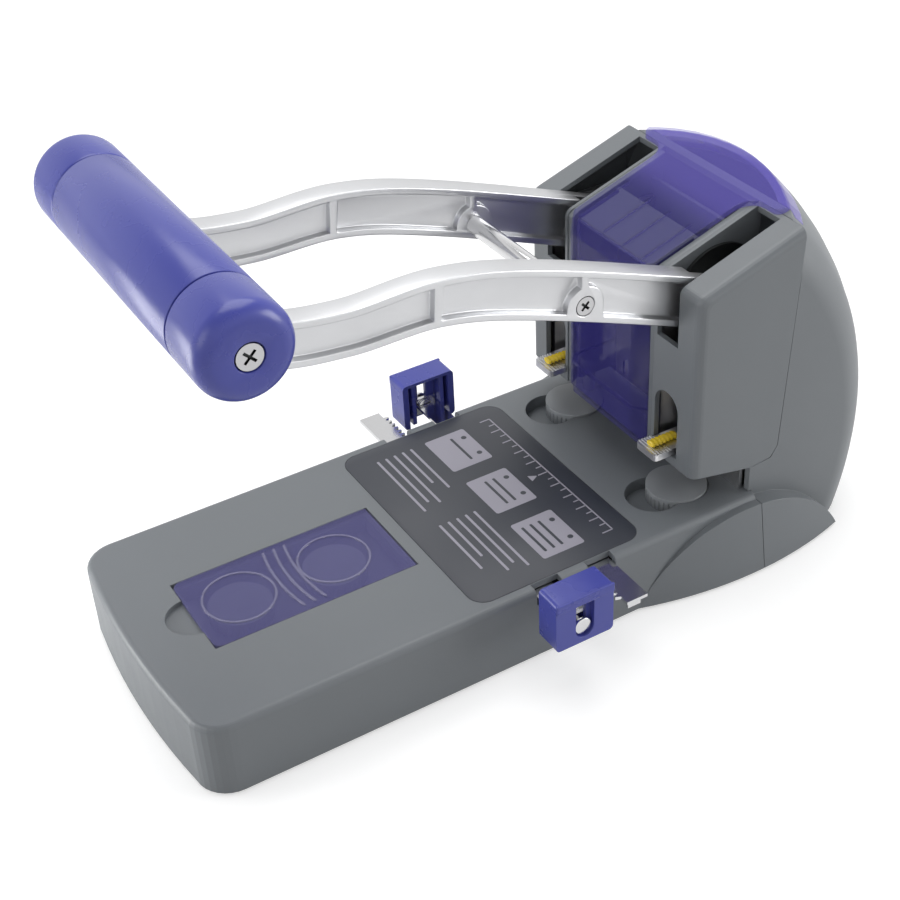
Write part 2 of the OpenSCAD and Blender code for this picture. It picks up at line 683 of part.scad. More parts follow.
panel_hw = cover_hw - cover_t - 0.4;
panel_rear = 16.3;
frame_top = pivot_z + 13;
window_r = 8;
window_x = slot_in + window_r;
window_z = 83;
module head_shell() {
    color(grey) {
        for (s = [1, -1]) side(s) difference() {
            difference() {
                tower();
                slab(slot_in, hhw - head_wall - slot_in)
                    polygon([[-head_front + head_wall, sole_z + sole_t], [60, sole_z + sole_t],
                    [60, top_z(60) - head_wall / slope_c],
                        [-head_front + head_wall, top_z(-head_front + head_wall) - head_wall / slope_c]]);
                box([tower_in - 1, -head_front + head_wall, sole_z + sole_t], [slot_in + 1, 60, pivot_z - 3]);
                box([tower_in - 1, base_rear - 2, 0], [hhw - head_wall, 60, 110]);
                box([tower_in - 1, -head_front + head_wall, 0], [hhw - head_wall, base_rear, sole_z]);
            }
            box([slot_in, -30, slot_low], [slot_out, -head_front + head_wall + 1, 200]);
            box([slot_in, -30, slot_low + 20], [slot_out, slot_rear, 200]);
            box([window_x - window_r, -30, guide_z + guide_t - 0.2],
                [window_x + window_r, -head_front + head_wall + 1, window_z]);
            translate([window_x, -30, window_z]) rotate([-90, 0, 0])
                cylinder(h = 31 - head_front + head_wall, r = window_r);
            translate([hx, pin_y, sole_z - 1]) cylinder(h = 5, r = 9);
            rod(tower_in - 1, slot_in + 1, pivot_y, pivot_z, shaft_r + 0.6);
        }
        box([-tower_in - 0.6, frame_rear + 0.3, 112], [tower_in + 0.6, frame_rear + 2.3, 148]);
        slab(-panel_hw, 2 * panel_hw) polygon(slope_band(-6.5, panel_rear, -3.6, -1.8));
        slab(-tower_in - 0.6, 2 * tower_in + 1.2) polygon([[panel_rear - 2, frame_top + 0.4],
            [panel_rear, frame_top + 0.4],
            [panel_rear, top_z(panel_rear) - 1.8], [panel_rear - 2, top_z(panel_rear - 2) - 1.8]]);
    }
}

// The back is turned about an axis along X, so it bows both up and across
back_axis_y = back_reach - back_r;
function back_rho(x) = let (e = max(0, abs(x) - (hhw - back_edge_r)))
    back_r - (back_plan_r - sqrt(back_plan_r * back_plan_r - x * x))
        - (back_edge_r - sqrt(max(0, back_edge_r * back_edge_r - e * e)));
back_xs = concat([for (i = [0:6]) -hhw + back_edge_r * (1 - cos(15 * i))],
    [for (i = [1:11]) (-1 + i / 6) * (hhw - back_edge_r)],
    [for (i = [6:-1:0]) hhw - back_edge_r * (1 - cos(15 * i))]);
module barrel(d) {
    k = (hhw - d) / hhw;
    translate([0, back_axis_y, back_mid]) rotate([0, 90, 0])
        rotate_extrude($fn = 180) polygon(concat([[50, -hhw + d]],
            [for (x = back_xs) [back_rho(x) - d, x * k]], [[50, hhw - d]]));
}

// Side view of the back cover drawn in by d
function back_outline(d) = [[base_rear + gap, shell_low], [200, shell_low], [200, top_z(200) - d / slope_c],
    [seam_y(160) + gap, top_z(seam_y(160)) - d / slope_c], [seam_y(56.3) + gap, head_low + 0.3],
        [34 + gap, head_low - 5.1],
    [stop_y + 2.2, head_low - 6.1], [stop_y + 2.2, base_h + gap], [base_rear + gap, base_h + gap]];

strip_drop = 9;
strip_hw = cover_bar_hw + 3;
module strip_zone(d) {
    slab(-strip_hw - d, 2 * (strip_hw + d)) polygon([[seam_y(160) + 4 - d,
        top_z(seam_y(160) + 4) - strip_drop - d], [200, top_z(200) - strip_drop - d],
        [200, top_z(200) + 50], [seam_y(160) + 4 - d, top_z(seam_y(160) + 4) + 50]]);
}

module back_cover() {
    color(grey) difference() {
        union() {
            difference() {
                union() {
                    intersection() {
                        barrel(0);
                        slab(-hhw, 2 * hhw) polygon(back_outline(0));
                    }
                    intersection() {
                        wings(base_rear + gap, 90);
                        union() {
                            barrel(0);
                            box([hhw - 5, base_rear, 0], [100, 90, 40]);
                            box([-100, base_rear, 0], [-hhw + 5, 90, 40]);
                        }
                    }
                }
                intersection() {
                    barrel(wall);
                    slab(-hhw + wall, 2 * (hhw - wall))
                        polygon([[0, -1], [200, -1], [200, top_z(200) - wall / slope_c],
                        [0, top_z(0) - wall / slope_c]]);
                }
            }
            for (s = [1, -1]) translate([s * 40, 62, plate_low + plate_t]) cylinder(h = 24, r = 4.5);
            intersection() {
                for (s = [1, -1]) box([s * 40 - 1, 62, plate_low + plate_t + 2],
                    [s * 40 + 1, back_reach, plate_low + plate_t + 20]);
                barrel(wall / 2);
            }
        }
        strip_zone(0.2);
        for (s = [1, -1]) translate([s * 40, 62, 0]) cylinder(h = 23, r = 1.5 + seat_gap);
    }
}

module rear_strip() {
    color(violet) intersection() {
        difference() {
            barrel(0);
            barrel(wall);
        }
        slab(-hhw, 2 * hhw) polygon([[0, top_z(0) - 40], [200, top_z(200) - 40], [200, top_z(200)],
            [0, top_z(0)]]);
        strip_zone(0);
    }
}

// Plan of the centre cover's body, drawn in by d
module cover_plan(d) {
    polygon([[-cover_hw + d, 20], [-cover_hw + d, -8 + d * 0.4],
        [-cover_front_hw + d * 0.4, -cover_front + d],
        [cover_front_hw - d * 0.4, -cover_front + d], [cover_hw - d, -8 + d * 0.4], [cover_hw - d, 20]]);
}

// A band along the tower slope from y0 to y1 and from a to b above it
function slope_band(y0, y1, a, b) = [[y0, top_z(y0) + a], [y1, top_z(y1) + a], [y1, top_z(y1) + b],
    [y0, top_z(y0) + b]];

// Plan of the cover's top: its sides flare into the cross bar, whose ends are round
bar_front = slot_rear + 0.4;
flare_r = 9;
bar_end_r = 4;
cover_top_half = concat([[cover_hw, 12]], arc([cover_hw + flare_r, bar_front - flare_r], flare_r, 180, 90, 8),
    arc([cover_bar_hw - bar_end_r, bar_front + bar_end_r], bar_end_r, -90, 0, 6), [[cover_bar_hw, 80]]);
cover_top_plan = concat(cover_top_half,
    [for (i = [len(cover_top_half) - 1:-1:0]) [-cover_top_half[i][0], cover_top_half[i][1]]]);
cover_rib = 1.2;
cover_rib_x = [-9, 5, 19];
cover_bend = 10;
function cover_side(d) = [[-cover_front + d, 0], [60, 0], [60, top_z(60) + cover_t - d],
    [-cover_bend, top_z(-cover_bend) + cover_t - d],
    [-cover_front + d, top_z(-cover_front) - 5 + cover_t - d]];

module centre_cover() {
    color(violet) {
        difference() {
            intersection() {
                translate([0, 0, cover_seam]) linear_extrude(120) cover_plan(0);
                slab(-50, 100) polygon(cover_side(0));
            }
            intersection() {
                linear_extrude(200) cover_plan(cover_t);
                slab(-50, 100) polygon(cover_side(cover_t));
            }
            box([-100, 14, 0], [100, 60, top_z(14) - 0.4]);
        }
        intersection() {
            linear_extrude(220) polygon(cover_top_plan);
            slab(-60, 120) polygon(slope_band(12, 80, 0.05, cover_t));
            barrel(0);
        }
        for (x = cover_rib_x) slab(x - cover_rib / 2, cover_rib) polygon(slope_band(-8, 18, -cover_rib, 0.5));
        slab(-cover_hw + 3, 2 * cover_hw - 6) polygon(slope_band(-8.2, -8.2 + cover_rib, -cover_rib, 0.5));
    }
}

module cover_foot() {
    color(violet) difference() {
        translate([0, 0, cover_low]) linear_extrude(cover_seam - gap - cover_low) cover_plan(0);
        translate([0, 0, cover_low + 3]) linear_extrude(60) cover_plan(cover_t);
        box([-100, 14, 0], [100, 60, 200]);
        rod(-100, 100, -cover_front - 8, cover_low - 1, 13, 64);
    }
}

// One C-shaped side frame: two plates with guides between them, on the right
module frame_body() {
    difference() {
        union() {
            for (x = [frame_in, frame_out]) slab(x, frame_t) polygon([[-4, guide_z], [frame_column, guide_z],
                [frame_column, plate_low + plate_t], [frame_rear, plate_low + plate_t],
                    [frame_rear, frame_top], [-4, frame_top]]);
            for (z = [guide_z, upper_z]) box([frame_in + 1, -4, z], [frame_out + 1, 21, z + guide_t]);
        }
        rod(0, 100, pivot_y, pivot_z, shaft_r + run_gap);
        translate([hx, pin_y, upper_z - 1]) cylinder(h = 10, r = holder_d / 2 + run_gap);
        translate([hx, pin_y, guide_z - 1]) cylinder(h = 10, r = 5.5);
    }
}

module frame_right() { color(steel) frame_body(); }
module frame_left() { color(steel) side(-1) frame_body(); }

module back_stop() {
    color(steel) box([-58, stop_y, base_h], [58, stop_y + 1.8, head_low - 7]);
}

module pin_bushes() {
    color([0.75, 0.60, 0.30]) for (s = [1, -1]) translate([s * hx, pin_y, guide_z - 1.2]) difference() {
        cylinder(h = guide_t + 1.2, r = 5.5 - seat_gap);
        translate([0, 0, -1]) cylinder(h = 10, r = pin_d / 2 + run_gap);
    }
}

// A hollow cutting pin, its edge notched, with a collar held in the holder
module pin_body() {
    translate([hx, pin_y, 0]) difference() {
        translate([0, 0, pin_tip]) cylinder(h = holder_low + 12 - pin_tip, r = pin_d / 2);
        translate([0, 0, pin_tip - 1]) cylinder(h = holder_low + 20 - pin_tip, r = pin_d / 2 - 0.9);
    }
}

module pin_right() { color(steel) pin_body(); }
module pin_left() { color(steel) side(-1) pin_body(); }

module holder_body() {
    translate([hx, pin_y, 0]) difference() {
        union() {
            translate([0, 0, holder_low]) cylinder(h = seat_top - holder_low, r = holder_d / 2);
            translate([0, 0, seat_top - seat_t]) cylinder(h = seat_t, r = seat_r);
            intersection() {
                translate([0, 0, seat_top - 1]) cylinder(h = holder_top - seat_top + 1, r = holder_d / 2);
                box([arm_in + 0.1 - hx, -20, 0], [cam_out - hx, follower_rear, 200]);
            }
        }
        translate([0, 0, holder_low - 1]) cylinder(h = 13, r = pin_d / 2 + seat_gap);
        translate([0, 0, holder_low]) cylinder(h = 30, r = pin_d / 2 - 0.9);
    }
}

module punch_holder_right() { color(steel) holder_body(); }
module punch_holder_left() { color(steel) side(-1) holder_body(); }

// One unbroken sprung coil between the upper guide and the holder's head
module spring_body() {
    r = holder_d / 2 + spring_gap + wire_d / 2;
    rings = round(spring_turns * 8);
    z0 = spring_low + wire_d / 2 + spring_end;
    rise = (spring_high - spring_low - wire_d - 2 * spring_end) / rings;
    levels = [for (k = [0:rings]) let (a = 45 * k) [for (i = [0:5]) let (b = -60 * i)
        [(r + wire_d / 2 * cos(b)) * cos(a), (r + wire_d / 2 * cos(b)) * sin(a),
            z0 + rise * k + wire_d / 2 * sin(b)]]];
    translate([hx, pin_y, 0]) skin(levels);
}
echo(least_self_gap_of_a_return_spring = (spring_high - spring_low - wire_d - 2 * spring_end) / spring_turns
    - wire_d);

module return_spring_right() { color(steel) spring_body(); }
module return_spring_left() { color(steel) side(-1) spring_body(); }

module pivot_shaft() {
    color(steel) rod(-frame_out - frame_t - 2, frame_out + frame_t + 2, pivot_y, pivot_z, shaft_r);
}

module friction_discs() {
    color([0.24, 0.26, 0.26]) for (s = [1, -1]) side(s) difference() {
        rod(slot_in, arm_in - gap, pivot_y, pivot_z, friction_r, 72);
        rod(0, 100, pivot_y, pivot_z, shaft_r + 0.6);
        box([0, pivot_y - friction_r - 1, 0], [100, pin_y + seat_r + 0.6, pivot_z - 3.6]);
    }
}

module pivot_spacers() {
    color(steel) for (s = [1, -1]) side(s) difference() {
        rod(arm_out + 0.2, frame_out - 0.3, pivot_y, pivot_z, 9);
        rod(0, 100, pivot_y, pivot_z, shaft_r + seat_gap);
    }
}

// One cast arm on the right: rims, sunk panels, a cross rib and the tie rod boss
module arm_body() {
    eye_r = handle_d / 2 - 4.5;
    boss_r = tie_d / 2 + 4.6;
    boss_rib = 3.4;
    difference() {
        union() {
            difference() {
                slab(arm_in, arm_w) polygon(band(0, 4.86, 0, 54));
                for (x = [arm_in - 1, arm_out - arm_panel]) {
                    slab(x, arm_panel + 1) polygon(band(0.14, rib_t - 0.04, arm_rim, 27));
                    slab(x, arm_panel + 1) polygon(band(rib_t + 0.04, 4.2, arm_rim, 22));
                }
                rod(arm_in - 1, cam_out + 0.1, pivot_y, pivot_z, 27.6, 64);
            }
            rod(cam_out + 0.1, arm_out, pivot_y, pivot_z, hub_r);
            intersection() {
                slab(arm_in, arm_w) polygon(band(tie_t - 0.4, tie_t + 0.4, 0, 12));
                union() {
                    rod(arm_in, arm_out, -tie_y, tie_z, boss_r);
                    box([arm_in, -tie_y - boss_r, tie_z - 30], [arm_out, -tie_y + boss_r, tie_z]);
                    box([arm_in, -tie_y - boss_rib / 2, tie_z], [arm_out, -tie_y + boss_rib / 2, tie_z + 30]);
                }
            }
            rod(arm_in, arm_out, -handle_y, handle_z, eye_r);
        }
        rod(0, 100, pivot_y, pivot_z, shaft_r + seat_gap);
        rod(0, 100, -tie_y, tie_z, tie_d / 2 - 1.5 + seat_gap);
        rod(arm_out - 2.6, 100, -tie_y, tie_z, 4.3, 32);
        rod(0, 100, -handle_y, handle_z, 6 + seat_gap);
    }
}

module lever_arm_right() { color(alloy) arm_body(); }
module lever_arm_left() { color(alloy) side(-1) arm_body(); }

module cam_body() {
    difference() {
        union() {
            rod(arm_in + 0.1, cam_out, pivot_y, pivot_z, hub_r);
            slab(arm_in + 0.1, cam_out - arm_in - 0.1) translate([pivot_y, pivot_z]) polygon(concat(
                [for (i = [0:18]) cam_point(-lift_turn + (press_turn + lift_turn + 2) * i / 18)],
                    [[-11.5, 0], [0, 0]]));
        }
        rod(0, 100, pivot_y, pivot_z, shaft_r + seat_gap);
    }
}

module cam_right() { color(steel) cam_body(); }
module cam_left() { color(steel) side(-1) cam_body(); }

module tie_rod() {
    color(steel) difference() {
        rod(-arm_in, arm_in, -tie_y, tie_z, tie_d / 2);
        for (s = [1, -1]) side(s) rod(arm_in - 10, arm_in + 1, -tie_y, tie_z, tie_d / 2 - 1.5 + seat_gap, 24);
    }
}

// A cross recess cut along X into a screw face at x
module cross_cut(x, y, z, l, d) {
    for (a = [45, 135]) translate([x, y, z]) rotate([a, 0, 0]) box([-d, -l / 2, -0.55], [1, l / 2, 0.55]);
}

module tie_rod_screws() {
    color(steel) for (s = [1, -1]) side(s) difference() {
        union() {
            rod(arm_out - 2.5, arm_out - 0.3, -tie_y, tie_z, 4, 32);
            rod(arm_in - 8, arm_out - 2.4, -tie_y, tie_z, tie_d / 2 - 1.5, 24);
        }
        cross_cut(arm_out - 0.3, -tie_y, tie_z, 4.6, 1.4);
    }
}

hr = handle_d / 2;
tube_hl = tube_len / 2;
handle_hl = handle_len / 2;

module handle_core() {
    color(steel) difference() {
        rod(-handle_hl + 8, handle_hl - 8, -handle_y, handle_z, 6);
        for (s = [1, -1]) side(s) rod(handle_hl - 24, handle_hl, -handle_y, handle_z, 2.2 + seat_gap, 24);
    }
}

module handle_tube() {
    color(blue) difference() {
        rod(-tube_hl + 0.3, tube_hl - 0.3, -handle_y, handle_z, hr, 72);
        rod(-tube_hl - 1, tube_hl + 1, -handle_y, handle_z, hr - 3.5, 72);
        for (s = [1, -1]) side(s) slab(arm_in - gap, arm_w + 2 * gap) polygon(band(3.6, 4.8, -gap, 16));
    }
}

// A cap on the right end of the handle, turned about X
module cap_body() {
    translate([0, -handle_y, handle_z]) difference() {
        rotate([0, 90, 0]) rotate_extrude($fn = 72)
            polygon(concat([[6 + seat_gap, tube_hl]], [[hr - 0.7, tube_hl], [hr, tube_hl + 0.7]],
            arc([hr - cap_round, handle_hl - cap_round], cap_round, 0, 90, 8),
                [[5.6, handle_hl], [5.6, handle_hl - 3], [2.6, handle_hl - 3],
            [2.6, handle_hl - 8], [6 + seat_gap, handle_hl - 8]]));
    }
}

module handle_cap_right() { color(blue) cap_body(); }
module handle_cap_left() { color(blue) side(-1) cap_body(); }

module handle_screws() {
    color(steel) for (s = [1, -1]) side(s) difference() {
        union() {
            rod(handle_hl - 3, handle_hl - 0.4, -handle_y, handle_z, 5, 32);
            rod(handle_hl - 22, handle_hl - 2.9, -handle_y, handle_z, 2.2, 24);
        }
        cross_cut(handle_hl - 0.4, -handle_y, handle_z, 6, 1.6);
    }
}

tab_low = guide_z + guide_t + 0.2;
tab_t = 3.2;

// A release tab on the right, forked about the pin and ribbed along its front edge
module tab_body() {
    translate([hx, 0, tab_low]) difference() {
        union() {
            box([-tab_w / 2 + 2, -tab_reach, 0], [tab_w / 2 - 2, pin_y + 5, tab_t]);
            box([-tab_w / 2, -tab_reach + 2, 0], [tab_w / 2, pin_y + 5, tab_t]);
            for (s = [1, -1]) translate([s * (tab_w / 2 - 2), -tab_reach + 2, 0])
                cylinder(h = tab_t, r = 2, $fn = 24);
        }
        box([-pin_d / 2 - 0.4, pin_y, -1], [pin_d / 2 + 0.4, 40, 10]);
        box([-tab_w, -head_front - gap, -1], [slot_in + 0.4 - hx, 40, 10]);
        translate([0, pin_y, -1]) cylinder(h = 10, r = pin_d / 2 + 0.4);
        for (i = [0:5]) box([-tab_w, -tab_reach + 1 + 1.4 * i, tab_t - 0.5],
            [tab_w, -tab_reach + 1.7 + 1.4 * i, tab_t + 1]);
    }
}

module release_tab_right() { color(steel) tab_body(); }
module release_tab_left() { color(steel) side(-1) tab_body(); }

module nub_body() {
    translate([hx, 0, tab_low + tab_t]) {
        box([-2.6, -13, 0], [2.6, -4.6, 2.8]);
        translate([0, -13, 0]) cylinder(h = 2.8, r = 2.6, $fn = 24);
        translate([0, -4.6, 0]) cylinder(h = 2.8, r = 2.6, $fn = 24);
    }
}

module lock_nub_right() { color([0.92, 0.80, 0.12]) nub_body(); }
module lock_nub_left() { color([0.92, 0.80, 0.12]) side(-1) nub_body(); }

// The frame of the part: middle of the footprint on the desk
module place() {
    translate([0, frame_y, 0]) children();
}

place() base_shell();
place() base_plate();
place() rubber_feet();
place() base_screws();
place() label_plate();
place() storage_lid();
place() spare_discs();
place() cutting_disc_left();
place() cutting_disc_right();
place() rack_tray();
place() tray_screws();
place() rack_front();
place() rack_rear();
place() rack_pinion();
place() pinion_pin();
place() paper_stop_left();
place() paper_stop_right();
place() stop_rivet_left();
place() stop_rivet_right();
place() head_shell();
place() back_cover();
place() rear_strip();
place() centre_cover();
place() cover_foot();
place() frame_left();
place() frame_right();
place() back_stop();
place() pin_bushes();
place() pin_left();
place() pin_right();
place() punch_holder_left();
place() punch_holder_right();
place() return_spring_left();
place() return_spring_right();
place() pivot_shaft();
place() friction_discs();
place() pivot_spacers();
place() lever_arm_left();
place() lever_arm_right();
place() cam_left();
place() cam_right();
place() tie_rod();
place() tie_rod_screws();
place() handle_core();
place() handle_tube();
place() handle_cap_left();
place() handle_cap_right();
place() handle_screws();
place() release_tab_left();
place() release_tab_right();
place() lock_nub_left();
place() lock_nub_right();
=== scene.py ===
"""Looks of a heavy two-hole punch, dressed around its packed construction.

Every size is in metres, in the frame of the construction: the handle points to -Y, the sheet goes in from
the front and the punch stands on the plane z = 0.
"""

import logging
import math
from dataclasses import dataclass, field
from enum import Enum
from typing import Callable, Iterable, Sequence

import bpy
from mathutils import Matrix, Vector


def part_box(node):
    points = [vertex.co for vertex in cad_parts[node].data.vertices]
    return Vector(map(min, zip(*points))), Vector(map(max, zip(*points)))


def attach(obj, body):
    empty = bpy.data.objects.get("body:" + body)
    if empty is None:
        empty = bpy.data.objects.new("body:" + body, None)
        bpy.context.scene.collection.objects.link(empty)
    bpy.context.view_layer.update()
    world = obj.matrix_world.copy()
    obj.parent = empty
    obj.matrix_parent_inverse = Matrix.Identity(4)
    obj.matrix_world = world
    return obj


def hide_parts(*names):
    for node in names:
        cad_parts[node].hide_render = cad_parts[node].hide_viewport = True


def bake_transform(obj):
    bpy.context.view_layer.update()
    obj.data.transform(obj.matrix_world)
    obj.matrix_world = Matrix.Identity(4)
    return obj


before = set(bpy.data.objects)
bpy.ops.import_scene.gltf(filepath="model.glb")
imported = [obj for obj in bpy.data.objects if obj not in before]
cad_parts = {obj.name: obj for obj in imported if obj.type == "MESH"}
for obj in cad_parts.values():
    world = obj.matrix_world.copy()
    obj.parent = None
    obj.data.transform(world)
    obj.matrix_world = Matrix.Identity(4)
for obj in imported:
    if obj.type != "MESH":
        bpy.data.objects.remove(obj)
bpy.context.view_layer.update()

MM = 0.001
SIDES = {"left": -1.0, "right": 1.0}
Colour = tuple[float, float, float]
Point = tuple[float, float, float]
Span = tuple[float, float]
Piece = bpy.types.Object
Socket = bpy.types.NodeSocket
WHITE: Colour = (1.0, 1.0, 1.0)
log = logging.getLogger("two_hole_punch")


class Gloss(Enum):
    """How a moulded surface shines: its low and high roughness."""

    POLISHED = (0.03, 0.05)
    SATIN = (0.34, 0.46)
    SMOOTH = (0.22, 0.32)
    MATT = (0.52, 0.66)


class Graph:
    """A node tree that is built by short calls."""

    # The mix node's numbers for its factor, its two colours and the mixed colour.
    MIX_INPUTS = (0, 6, 7)
    MIX_RESULT = 2

    def __init__(self, tree: bpy.types.NodeTree) -> None:
        """Starts from an empty tree.

        Args:
            tree: The node tree of a material, a world or a node group.
        """
        self.tree = tree
        tree.nodes.clear()

    def node(self, kind: str, values: dict[str, object] | None = None, **settings: object) -> bpy.types.Node:
        """Adds a node.

        Args:
            kind: The node's type, without its ShaderNode prefix where it has one.
            values: Values for its input sockets, by name.
            settings: Properties of the node itself.

        Returns:
            The new node.
        """
        name = kind if kind.startswith("Node") else "ShaderNode" + kind
        made = self.tree.nodes.new(name)
        for key, value in settings.items():
            setattr(made, key, value)
        for key, value in (values or {}).items():
            made.inputs[key].default_value = value
        return made

    def link(self, source: Socket, target: Socket) -> None:
        """Links two sockets.

        Args:
            source: An output socket.
            target: An input socket.
        """
        self.tree.links.new(source, target)

    def feed(self, socket: Socket, value: object) -> None:
        """Links a socket to an input, or sets the input to a plain value.

        Args:
            socket: The input socket.
            value: An output socket, a colour or a number.
        """
        if isinstance(value, bpy.types.NodeSocket):
            self.link(value, socket)
        elif isinstance(value, (tuple, list)) and len(value) == 3 and socket.type == "RGBA":
            socket.default_value = (*value, 1.0)
        else:
            socket.default_value = value

    def mix_colour(self, factor: object, low: object, high: object) -> Socket:
        """Mixes two colours.

        Args:
            factor: A socket, or a number, from 0 for the low colour to 1 for the high one.
            low: A socket or a colour.
            high: A socket or a colour.

        Returns:
            The mixed colour's socket.
        """
        mix = self.node("Mix", data_type="RGBA")
        for number, value in zip(self.MIX_INPUTS, (factor, low, high)):
            self.feed(mix.inputs[number], value)
        return mix.outputs[self.MIX_RESULT]

    def math(self, operation: str, *values: object) -> Socket:
        """Works out a number.

        Args:
            operation: The math node's operation.
            values: Sockets or plain numbers.

        Returns:
            The result's socket.
        """
        made = self.node("Math", operation=operation)
        for socket, value in zip(made.inputs, values):
            self.feed(socket, value)
        return made.outputs[0]

    def spread(self, value: object, low: object, high: object) -> Socket:
        """Spreads a value from 0 to 1 over the numbers from low to high.

        Args:
            value: A socket or a number.
            low: What 0 becomes, as a socket or a number.
            high: What 1 becomes, as a socket or a number.

        Returns:
            The result's socket.
        """
        made = self.node("MapRange")
        for name, given in (("Value", value), ("To Min", low), ("To Max", high)):
            self.feed(made.inputs[name], given)
        return made.outputs[0]

    def ramp(self, value: Socket, span: Span) -> Socket:
        """Rises smoothly from 0 to 1 while a value crosses a span.

        Args:
            value: The value's socket.
            span: Where the rise starts and ends.

        Returns:
            The result's socket.
        """
        limits = {"From Min": span[0], "From Max": span[1]}
        made = self.node("MapRange", limits, interpolation_type="SMOOTHSTEP")
        self.link(value, made.inputs["Value"])
        return made.outputs[0]

    def noise(self, vector: Socket, waves: object, detail: float) -> Socket:
        """Makes noise from 0 to 1.

        Args:
            vector: The place's socket.
            waves: The number of waves in a metre, as a socket or a number.
            detail: How many finer layers it has.

        Returns:
            The noise's socket.
        """
        made = self.node("TexNoise", {"Detail": detail})
        self.link(vector, made.inputs["Vector"])
        self.feed(made.inputs["Scale"], waves)
        return made.outputs[0]


class Effect:
    """A shader node group that more than one finish uses."""

    RESULTS = {"Colour": "Color", "Roughness": "Float", "Height": "Float"}

    def __init__(self, name: str, inputs: dict[str, str]) -> None:
        """Makes an empty group with its sockets.

        Args:
            name: The group's name.
            inputs: Socket types by name, Float or Color.
        """
        self.group = bpy.data.node_groups.new(name, "ShaderNodeTree")
        for direction, sockets in (("INPUT", inputs), ("OUTPUT", self.RESULTS)):
            for socket, kind in sockets.items():
                self.group.interface.new_socket(socket, in_out=direction, socket_type="NodeSocket" + kind)
        self.graph = Graph(self.group)
        self.given = self.graph.node("NodeGroupInput").outputs
        self.result = self.graph.node("NodeGroupOutput").inputs

    def give(self, tone: Socket, gloss: Socket, height: Socket) -> None:
        """Links the group's results.

        Args:
            tone: How much lighter or darker the given colour gets.
            gloss: A value from 0 to 1 for the given low to high roughness.
            height: The relief, from 0 to 1.
        """
        shade = self.graph.node("VectorMath", operation="SCALE")
        self.graph.link(self.given["Colour"], shade.inputs[0])
        self.graph.link(tone, shade.inputs["Scale"])
        self.graph.link(shade.outputs[0], self.result["Colour"])
        rough = self.graph.spread(gloss, self.given["Rough low"], self.given["Rough high"])
        self.graph.link(rough, self.result["Roughness"])
        self.graph.link(height, self.result["Height"])

    def place(self, graph: Graph, values: dict[str, object]) -> bpy.types.Node:
        """Places the group in a material.

        Args:
            graph: The material's graph.
            values: Values for the group's inputs.

        Returns:
            The group node.
        """
        node = graph.node("Group")
        node.node_tree = self.group
        for key, value in values.items():
            graph.feed(node.inputs[key], value)
        return node


@dataclass
class Effects:
    """The shared effects, each built once, with their waves in a metre and their layers of detail."""

    mottle_waves: float = 28.0
    gloss_waves: float = 60.0
    mottle_detail: float = 3.0
    gloss_detail: float = 4.0
    grain_share: float = 0.45
    metal_waves: float = 45.0
    metal_grain_detail: float = 2.0
    metal_grain_share: float = 0.5
    metal_tone: Span = (0.94, 1.04)

    def __post_init__(self) -> None:
        """Builds the effects."""
        self.moulded = self.moulded_skin()
        self.metal = self.metal_skin()

    @staticmethod
    def blend(graph: Graph, grain: Socket, cloud: Socket, share: float) -> Socket:
        """Adds a share of the grain to the rest of the clouds.

        Args:
            graph: The effect's graph.
            grain: The grain's socket.
            cloud: The clouds' socket.
            share: The grain's share.

        Returns:
            The sum's socket.
        """
        rest = graph.math("MULTIPLY", cloud, 1.0 - share)
        return graph.math("MULTIPLY_ADD", grain, share, rest)

    def moulded_skin(self) -> Effect:
        """Builds the fine spark-eroded texture of a moulding, with a faint mottle and uneven gloss.

        Returns:
            The effect.
        """
        inputs = {"Colour": "Color"} | dict.fromkeys(("Mottle", "Grain", "Rough low", "Rough high"), "Float")
        effect = Effect("moulded_skin", inputs)
        graph, given = effect.graph, effect.given
        place = graph.node("TexCoord").outputs["Object"]
        cloud = graph.noise(place, self.mottle_waves, self.mottle_detail)
        grain = graph.noise(place, given["Grain"], self.mottle_detail)
        dark = graph.math("SUBTRACT", 1.0, given["Mottle"])
        light = graph.math("ADD", 1.0, given["Mottle"])
        tone = graph.spread(self.blend(graph, grain, cloud, self.grain_share), dark, light)
        effect.give(tone, graph.noise(place, self.gloss_waves, self.gloss_detail), grain)
        return effect

    def metal_skin(self) -> Effect:
        """Builds the skin of bare metal: soft clouds of gloss, fine pits and a slightly uneven tone.

        Returns:
            The effect.
        """
        inputs = {"Colour": "Color"} | dict.fromkeys(("Grain", "Rough low", "Rough high"), "Float")
        effect = Effect("metal_skin", inputs)
        graph, given = effect.graph, effect.given
        place = graph.node("TexCoord").outputs["Object"]
        cloud = graph.noise(place, self.metal_waves, self.gloss_detail)
        grain = graph.noise(place, given["Grain"], self.metal_grain_detail)
        gloss = self.blend(graph, grain, cloud, self.metal_grain_share)
        effect.give(graph.spread(cloud, *self.metal_tone), gloss, grain)
        return effect


EFFECTS = Effects()
MADE: dict[str, bpy.types.Material] = {}
RELIEF_STRENGTH = 0.6
ROUNDING_SAMPLES = 6


